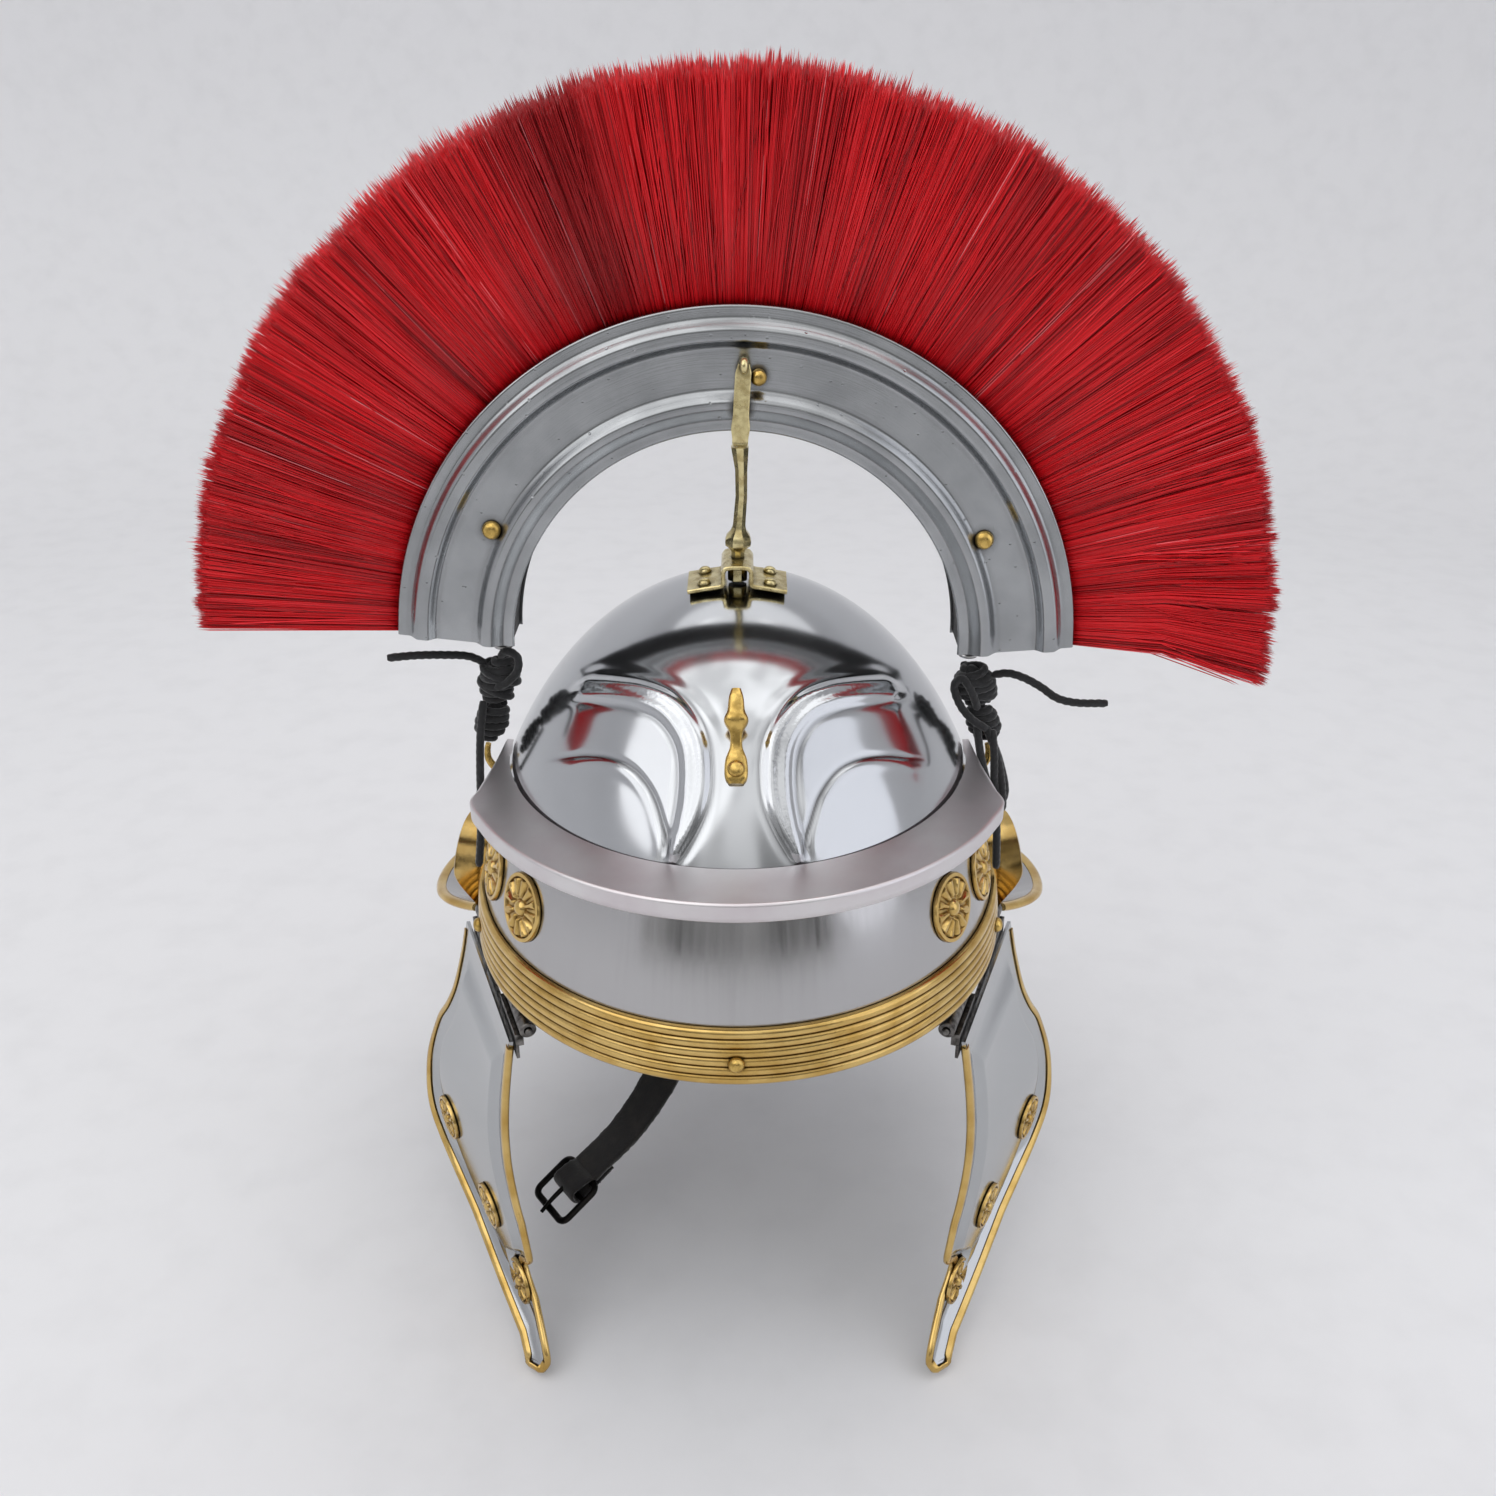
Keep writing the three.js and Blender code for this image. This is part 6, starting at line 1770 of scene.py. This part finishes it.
    def build(self) -> None:
        """Builds the backing and the strands."""
        self.backing()
        lines, radius = self.draw_strands()
        side = np.array([0.0, 1.0, 0.0])
        run = unit(lines[:, -1] - lines[:, 0])
        first = unit(np.cross(run, side))
        second = np.cross(run, first)
        turn = np.radians([90, 210, 330])
        spread = np.cos(turn)[:, None, None] * first + np.sin(turn)[:, None, None] * second
        taper = np.array([1.0, 1.0, 0.85])
        rings = lines[:, :3, None] + (radius[:, None] * taper)[:, :, None, None] * spread.transpose(
            1, 0, 2)[:, None]
        points = np.concatenate([rings.reshape(len(lines), 9, 3), lines[:, 3:]], axis=1)
        quads = [(0, 2, 5, 3), (2, 1, 4, 5), (1, 0, 3, 4), (3, 5, 8, 6), (5, 4, 7, 8), (4, 3, 6, 7)]
        ends = [(6, 8, 9), (8, 7, 9), (7, 6, 9), (0, 1, 2)]
        order = np.arange(len(lines)) % self.bundles
        for bundle in range(self.bundles):
            mine = points[order == bundle]
            start = np.arange(len(mine))[:, None, None] * 10
            draft = MeshDraft().add(mine, (np.array(quads) + start).reshape(-1, 4))
            draft.faces.extend((np.array(ends) + start).reshape(-1, 3).tolist())
            piece = draft.build(f"plume_strands_{bundle + 1}", BRISTLE, weld=False)
            dress(piece, Body.ROOT, ["plume"])
        LOG.info("plume: %d strands", len(lines))


@dataclass
class TieCords:
    """The black tie cords: bound turns at each side of the crest, and their free ends."""

    radius: float = 1.5
    braid: float = 0.13

    def routes(self) -> dict[str, list[list[float]]]:
        """Returns the free ends' routes, as the solids have them."""
        return {
            "cord_left_tail": [[-98.6, -12.4, 95], [-99.8, -17, 84], [-100.6, -20, 70], [-101.4, -20.6, 55],
                               [-102.6, -20.8, 40], [-104.4, -20.6, 26]],
            "cord_left_loop": [[-97.4, -9, 109.6], [-103, -10, 112.6], [-112, -12, 114], [-123, -14, 114.6],
                               [-133, -16, 114.4]],
            "cord_right_end": [[98.3, -10.4, 105], [104, -11, 106], [110, -12, 104.6], [117, -13, 101],
                               [123, -14, 97], [130, -14, 95], [143, -14, 94.6]],
            "cord_right_tail": [[99.5, -13.1, 83], [100.4, -16, 74], [101.2, -17, 62], [102.6, -18.4, 50],
                                [103.6, -19, 38], [104.4, -19, 24]],
        }

    def braided(self, draft: MeshDraft, line: Array) -> MeshDraft:
        """Adds a braided cord along a line.

        Args:
            draft: the mesh that gets it.
            line: its centre line.

        Returns:
            The draft.
        """
        length = line_length(line)
        steps = max(int(length / 0.7), 8)
        fine = even_steps(line, steps)
        first, second = travel_frames(fine)
        turn = np.linspace(0, 2 * math.pi, 18, endpoint=False)
        run = np.linspace(0, length, steps + 1)[:, None] * 2.2
        weave = np.maximum(np.sin(3 * turn + run), np.sin(3 * turn - run))
        end = np.minimum(run, run[::-1]) / 2.2
        radius = (self.radius + self.braid * weave) * (0.72 + 0.28 * smooth_step(end / 1.2))
        spread = np.cos(turn)[None, :, None] * first[:, None] + np.sin(turn)[None, :, None] * second[:, None]
        return draft.grid(fine[:, None] + radius[..., None] * spread, wrap=True, caps=True)

    def knot(self, side: Side) -> Object:
        """Builds the bound turns of one side.

        Args:
            side: which side.

        Returns:
            The piece.
        """
        rows = [(0, 0.3), (0.1, 0.72), (0.3, 0.86), (0.48, 0.6), (0.68, 1), (0.88, 0.84), (1, 0.4)]
        low = np.array([side.value * 99.0, -6.0, 75.0])
        high = np.array([side.value * 90.1, -9.0, 112.9 if side is Side.LEFT else 109.1])
        draft = MeshDraft()
        at = np.linspace(0.02, 0.98, 30)
        reach = np.maximum(8.2 * table_value(rows, 1, at) - 2.8, 0.7)
        turn = np.linspace(0, 2 * math.pi, 20, endpoint=False)
        flat = np.stack([np.cos(turn), 0.8 * np.sin(turn), 0 * turn], axis=1)
        draft.grid((low + (high - low) * at[:, None])[:, None] + reach[:, None, None] * flat, wrap=True,
                   caps=True)
        chance = np.random.default_rng(5 + side.value)
        for start, end, turns, tilt in ((0.04, 0.44, 5.0, 0.0), (0.5, 0.97, 5.6, 2.0),
                                        (0.55, 0.92, 2.2, -4.5)):
            share = np.linspace(start, end, 120)
            spin = np.linspace(0, turns * 2 * math.pi, 120) * side.value + (1.1 if tilt < 0 else 0)
            wide = np.maximum(8.2 * table_value(rows, 1, share) - 1.7 + (0.5 if tilt < 0 else 0), 1.2)
            wide = wide + 0.25 * np.sin(spin * 0.37 + chance.uniform(0, 6))
            line = low + (high - low) * share[:, None]
            line = line + wide[:, None] * np.stack([np.cos(spin), 0.8 * np.sin(spin), 0 * spin], axis=1)
            line[:, 2] += tilt * np.cos(spin) * 0.4
            self.braided(draft, line)
        loops = [[(91, -11, 113), (88, -13, 116), (84, -14.5, 114.5), (84, -14.5, 109), (88, -14.5, 104),
                  (93, -14, 101)]]
        if side is Side.RIGHT:
            loops = [[(93, -13.5, 92), (90, -14.5, 100), (86, -14, 105), (83.5, -13, 102), (86, -13.5, 94),
                      (91, -14.5, 88), (97, -15, 84)],
                     [(93, -13, 87), (95, -16.5, 74), (99, -19, 60), (102.5, -19.5, 52), (104.5, -19, 51),
                      (104.5, -17.5, 58), (102, -15, 72), (97, -13, 84)],
                     [(97, -12, 84), (103, -14, 70), (106, -15.5, 56), (104, -17, 52.5), (102, -17.5, 58),
                      (101, -15, 66)]]
        for loop in loops:
            line = curve_through([(side.value * x, y, z) for x, y, z in loop], 80)
            self.braided(draft, line)
        piece = draft.build(f"tie_cord_{side.word}_binding", CORD, 60)
        return dress(piece, Body.ROOT, [f"cord_{side.word}_knot"])

    def build(self) -> None:
        """Builds both knots and every free end."""
        knots = {side.word: self.knot(side) for side in Side}
        for node, points in self.routes().items():
            line = curve_through(points, 60)
            piece = self.braided(MeshDraft(), line).build(f"tie_{node}", CORD, 60)
            dress(piece, Body.ROOT, [node])
            line_length(line) * MM
            LOG.info("%s: %.0f mm", node, line_length(line))


@dataclass
class ChinStrap:
    """The suede strap half that carries the buckle, from its rivet inside the nape."""

    width: float = 17.0
    wall: float = 2.6
    turn_share: float = 0.2
    buckle_width: float = 27.0
    buckle_length: float = 23.0
    route: tuple[tuple[float, float, float], ...] = (
        (-1, 105.8, -6), (-1.3, 105.8, -16), (-1.8, 105.2, -25), (-3, 101, -33), (-5, 92, -38.5),
        (-12, 62, -49), (-22, 28, -66), (-33, -8, -86), (-48, -28, -101), (-66, -41, -114))

    def frames(self, steps: int) -> tuple[Array, ...]:
        """Finds the strap's places and directions along its length.

        Args:
            steps: how many steps it has.

        Returns:
            The places, and the directions along it, across it and out of its face.
        """
        line = curve_through(self.route, steps)
        along = unit(np.gradient(line, axis=0))
        share = np.linspace(0, 1, steps + 1)
        facing = np.array([0.0, -1.0, 0.0]) + (UP - np.array([0.0, -1.0, 0.0])) * smooth_step(
            share / self.turn_share)[:, None]
        across = unit(np.cross(along, facing))
        return line, along, across, np.cross(across, along)

    def build(self) -> None:
        """Builds the strap, its buckle and its rivet."""
        chance = np.random.default_rng(11)
        line, along, across, normal = self.frames(170)
        place, ahead, over, out = line[-1], along[-1], across[-1], normal[-1]
        fold = [(0, 0), (3, 2.3), (6.5, 2.9), (9.6, 3.4), (12.2, 1.6), (12.2, -1.6), (9.6, -3.4), (5, -3.3),
                (-1, -3.2), (-9, -2.9)]
        tail = curve_through([place + ahead * a + out * b for a, b in fold], 60)
        tail_run = unit(np.gradient(tail, axis=0))
        draft = MeshDraft()
        for centre, side, up, wall, wide in ((line, across, normal, self.wall, self.width),
                                             (tail, np.broadcast_to(over, tail.shape),
                                              np.cross(over, tail_run), 1.5, self.width - 1)):
            rings = []
            for spot, wing, rise in zip(centre, side, up):
                fuzz = chance.normal(0, 0.16, 20)
                turn = np.linspace(0, 2 * math.pi, 20, endpoint=False)
                wide_at = np.sign(np.cos(turn)) * np.abs(np.cos(turn)) ** 0.22 * wide / 2
                thick_at = np.sign(np.sin(turn)) * np.abs(np.sin(turn)) ** 0.5 * wall / 2
                wide_at = wide_at + fuzz * (np.abs(np.cos(turn)) > 0.85)
                rings.append(spot + wide_at[:, None] * wing + thick_at[:, None] * rise)
            draft.grid(np.array(rings), wrap=True, caps=True)
        dress(draft.build("chin_strap_leather", SUEDE, 60), Body.ROOT, ["chin_strap"])
        self.buckle(place, ahead, over, out)
        spot = line[8] + normal[8] * (self.wall / 2 + 0.1)
        piece = rivet(MeshDraft(), spot, normal[8], 3.2, 2.2).build("strap_stud", CAST, 50)
        dress(piece, Body.ROOT, ["strap_rivet"])
        LOG.info("chin strap: %.0f mm", line_length(line))

    def buckle(self, place: Array, ahead: Array, over: Array, out: Array) -> None:
        """Builds the buckle's frame, middle bar and prong.

        Args:
            place: the strap's end.
            ahead: the strap's direction there.
            over: across the strap.
            out: the strap's outer side.
        """
        half, length, corner, bar = self.buckle_width / 2 - 1.4, self.buckle_length - 2.8, 3.4, 1.35
        middle = 0.3 + self.buckle_length * 0.4
        loop = []
        corners = [(half, 1.7), (half, 1.7 + length), (-half, 1.7 + length), (-half, 1.7)]
        for number, (x, y) in enumerate(corners):
            towards = (-math.copysign(corner, x), corner if y < 5 else -corner)
            for turn in np.linspace(0, math.pi / 2, 7) + math.pi / 2 * (number - 1):
                loop.append((x + towards[0] + corner * math.cos(turn),
                             y + towards[1] + corner * math.sin(turn)))
        ring = np.array([place + over * x + ahead * y for x, y in [*loop, loop[0]]])
        ring = even_steps(ring, 120)[:-1]
        run = unit(np.roll(ring, -1, axis=0) - np.roll(ring, 1, axis=0))
        side = np.cross(run, out)
        spin = np.linspace(0, 2 * math.pi, 14, endpoint=False)
        rings = ring[:, None] + bar * (np.cos(spin)[None, :, None] * side[:, None] * 1.15
                                       + np.sin(spin)[None, :, None] * out)
        draft = MeshDraft().grid(np.concatenate([rings, rings[:1]]), wrap=True)
        draft.tube(np.array([place + ahead * middle + over * x for x in np.linspace(-half, half, 8)]), 1.2,
                   14)
        tip = [place + ahead * (middle - 1.2) + out * 1.6, place + ahead * (middle + 3) + out * 2.1,
               place + ahead * (self.buckle_length - 3) + out * 2.0,
               place + ahead * (self.buckle_length + 2.4)
               + out * 1.2]
        draft.tube(curve_through(tip, 24), np.linspace(1.25, 0.85, 25), 12)
        dress(draft.build("strap_buckle_frame", ENAMEL, 50), Body.ROOT, ["strap_buckle"])


@dataclass
class Studio:
    """The camera at the photo's viewing angle, soft lamps, and a plain pale floor and wall."""

    floor: float = -167.4
    wall_y: float = 1700.0
    wall_top: float = 2600.0
    bend: float = 500.0
    key_power: float = 8.0
    sky_strength: float = 1.12

    def camera(self) -> None:
        """Adds the camera."""
        data = bpy.data.cameras.new("camera")
        data.lens, data.sensor_width = 35.61, 36.0
        data.clip_start = 0.01
        camera = bpy.data.objects.new("camera", data)
        camera.location = (0.004, -0.536, 0.330)
        camera.rotation_euler = (math.radians(64), 0, 0)
        bpy.context.scene.collection.objects.link(camera)
        bpy.context.scene.camera = camera

    def lamp(self, name: str, place: Sequence[float], target: Sequence[float], size: Sequence[float],
             power: float, colour: str = "FFFFFF") -> None:
        """Adds one softbox.

        Args:
            name: its name.
            place: where it stands, in metres.
            target: where it points.
            size: its width and height in metres.
            power: its power in watts.
            colour: its colour.
        """
        data = bpy.data.lights.new(name, "AREA")
        data.shape, data.size, data.size_y, data.energy = "ELLIPSE", size[0], size[1], power
        data.color = hex_to_linear(colour)[:3]
        lamp = bpy.data.objects.new(name, data)
        lamp.location = place
        lamp.rotation_euler = (Vector(target) - Vector(place)).to_track_quat("-Z", "Y").to_euler()
        bpy.context.scene.collection.objects.link(lamp)

    def world(self) -> None:
        """Adds the light of a white room: bright above, with darker furniture round the horizon."""
        world = bpy.data.worlds.new("white_room")
        bpy.context.scene.world = world
        world.use_nodes = True
        tree = world.node_tree
        tree.nodes.clear()
        aim = add_node(tree, "TexCoord").outputs["Generated"]
        split = add_node(tree, "SeparateXYZ", {0: aim})
        height = add_node(tree, "ValToRGB", {"Fac": add_node(tree, "MapRange", {
            "Value": split.outputs["Z"], "From Min": -1.0, "From Max": 1.0}).outputs[0]}, stops=[
                (0.0, 0.62), (0.44, 0.5), (0.5, 0.27), (0.6, 0.34), (0.7, 0.62), (0.84, 0.86), (1.0, 0.78)])
        stretch = add_node(tree, "VectorMath", {0: aim, 1: (4.0, 4.0, 0.5)}, operation="MULTIPLY")
        room = add_node(tree, "TexNoise", {"Vector": stretch.outputs[0], "Scale": 1.0, "Detail": 1.0})
        dark = add_node(tree, "MapRange", {"Value": room.outputs["Fac"], "From Min": 0.4,
                                                    "From Max": 0.6, "To Min": 0.5, "To Max": 1.25})
        total = add_node(tree, "VectorMath", {0: height.outputs[0], 1: dark.outputs[0]},
                         operation="MULTIPLY")
        back = add_node(tree, "Background", {"Color": total.outputs[0],
                                                       "Strength": self.sky_strength})
        add_node(tree, "OutputWorld", {"Surface": back.outputs[0]})

    def build(self) -> None:
        """Builds the camera, the lamps, the sweep and the room's light."""
        self.camera()
        self.world()
        turned_up = np.linspace(0, math.pi / 2, 17)
        profile = [(0.0, 0.0), (self.wall_y - self.bend, 0.0)]
        profile += [(self.wall_y - self.bend + self.bend * math.sin(t), self.bend - self.bend * math.cos(t))
                    for t in turned_up]
        profile += [(self.wall_y, self.wall_top)]
        turns = np.radians(np.linspace(-52, 232, 72))
        stretch = np.array([1.15, 1.0])
        rows = [[[*(reach * stretch * (math.cos(t), math.sin(t))), self.floor + z] for t in turns]
                for reach, z in profile]
        sweep = MeshDraft().grid(np.array(rows))
        front = [[0.0, 0.0, self.floor], *[[self.wall_y * 2 * math.cos(t), self.wall_y * 2 * math.sin(t),
                                            self.floor - 0.5] for t in np.radians(np.linspace(180, 360,
                                                                                              32))]]
        sweep.add(np.array(front), np.array([[0, n, n + 1] for n in range(1, 32)]))
        sweep = sweep.build("pale_sweep", PAPER)
        self.lamp("key", (-0.75, -0.75, 1.25), (0, 0, 0.1), (1.7, 1.7), self.key_power)
        self.lamp("top", (0.15, 0.45, 1.6), (0, 0, 0.1), (2.3, 1.9), self.key_power * 0.9)
        self.lamp("fill", (1.2, -0.6, 0.6), (0, 0, 0.05), (1.2, 1.6), self.key_power * 0.45, "F4F7FF")
        view = bpy.context.scene.view_settings
        view.view_transform = "Standard"


def main() -> None:
    """Builds every sub-assembly in order."""
    logging.basicConfig(level=logging.INFO, format="%(name)s %(message)s")
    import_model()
    crest = Crest()
    for part in (Studio(), TieCords(), Skull(), BrowFittings(), NeckEdge(), CheekGuard(Side.LEFT),
                 CheekGuard(Side.RIGHT), crest, Plume(crest), ChinStrap()):
        part.build()
        LOG.info("%s: done", type(part).__name__)


if __name__ == "__main__":
    main()
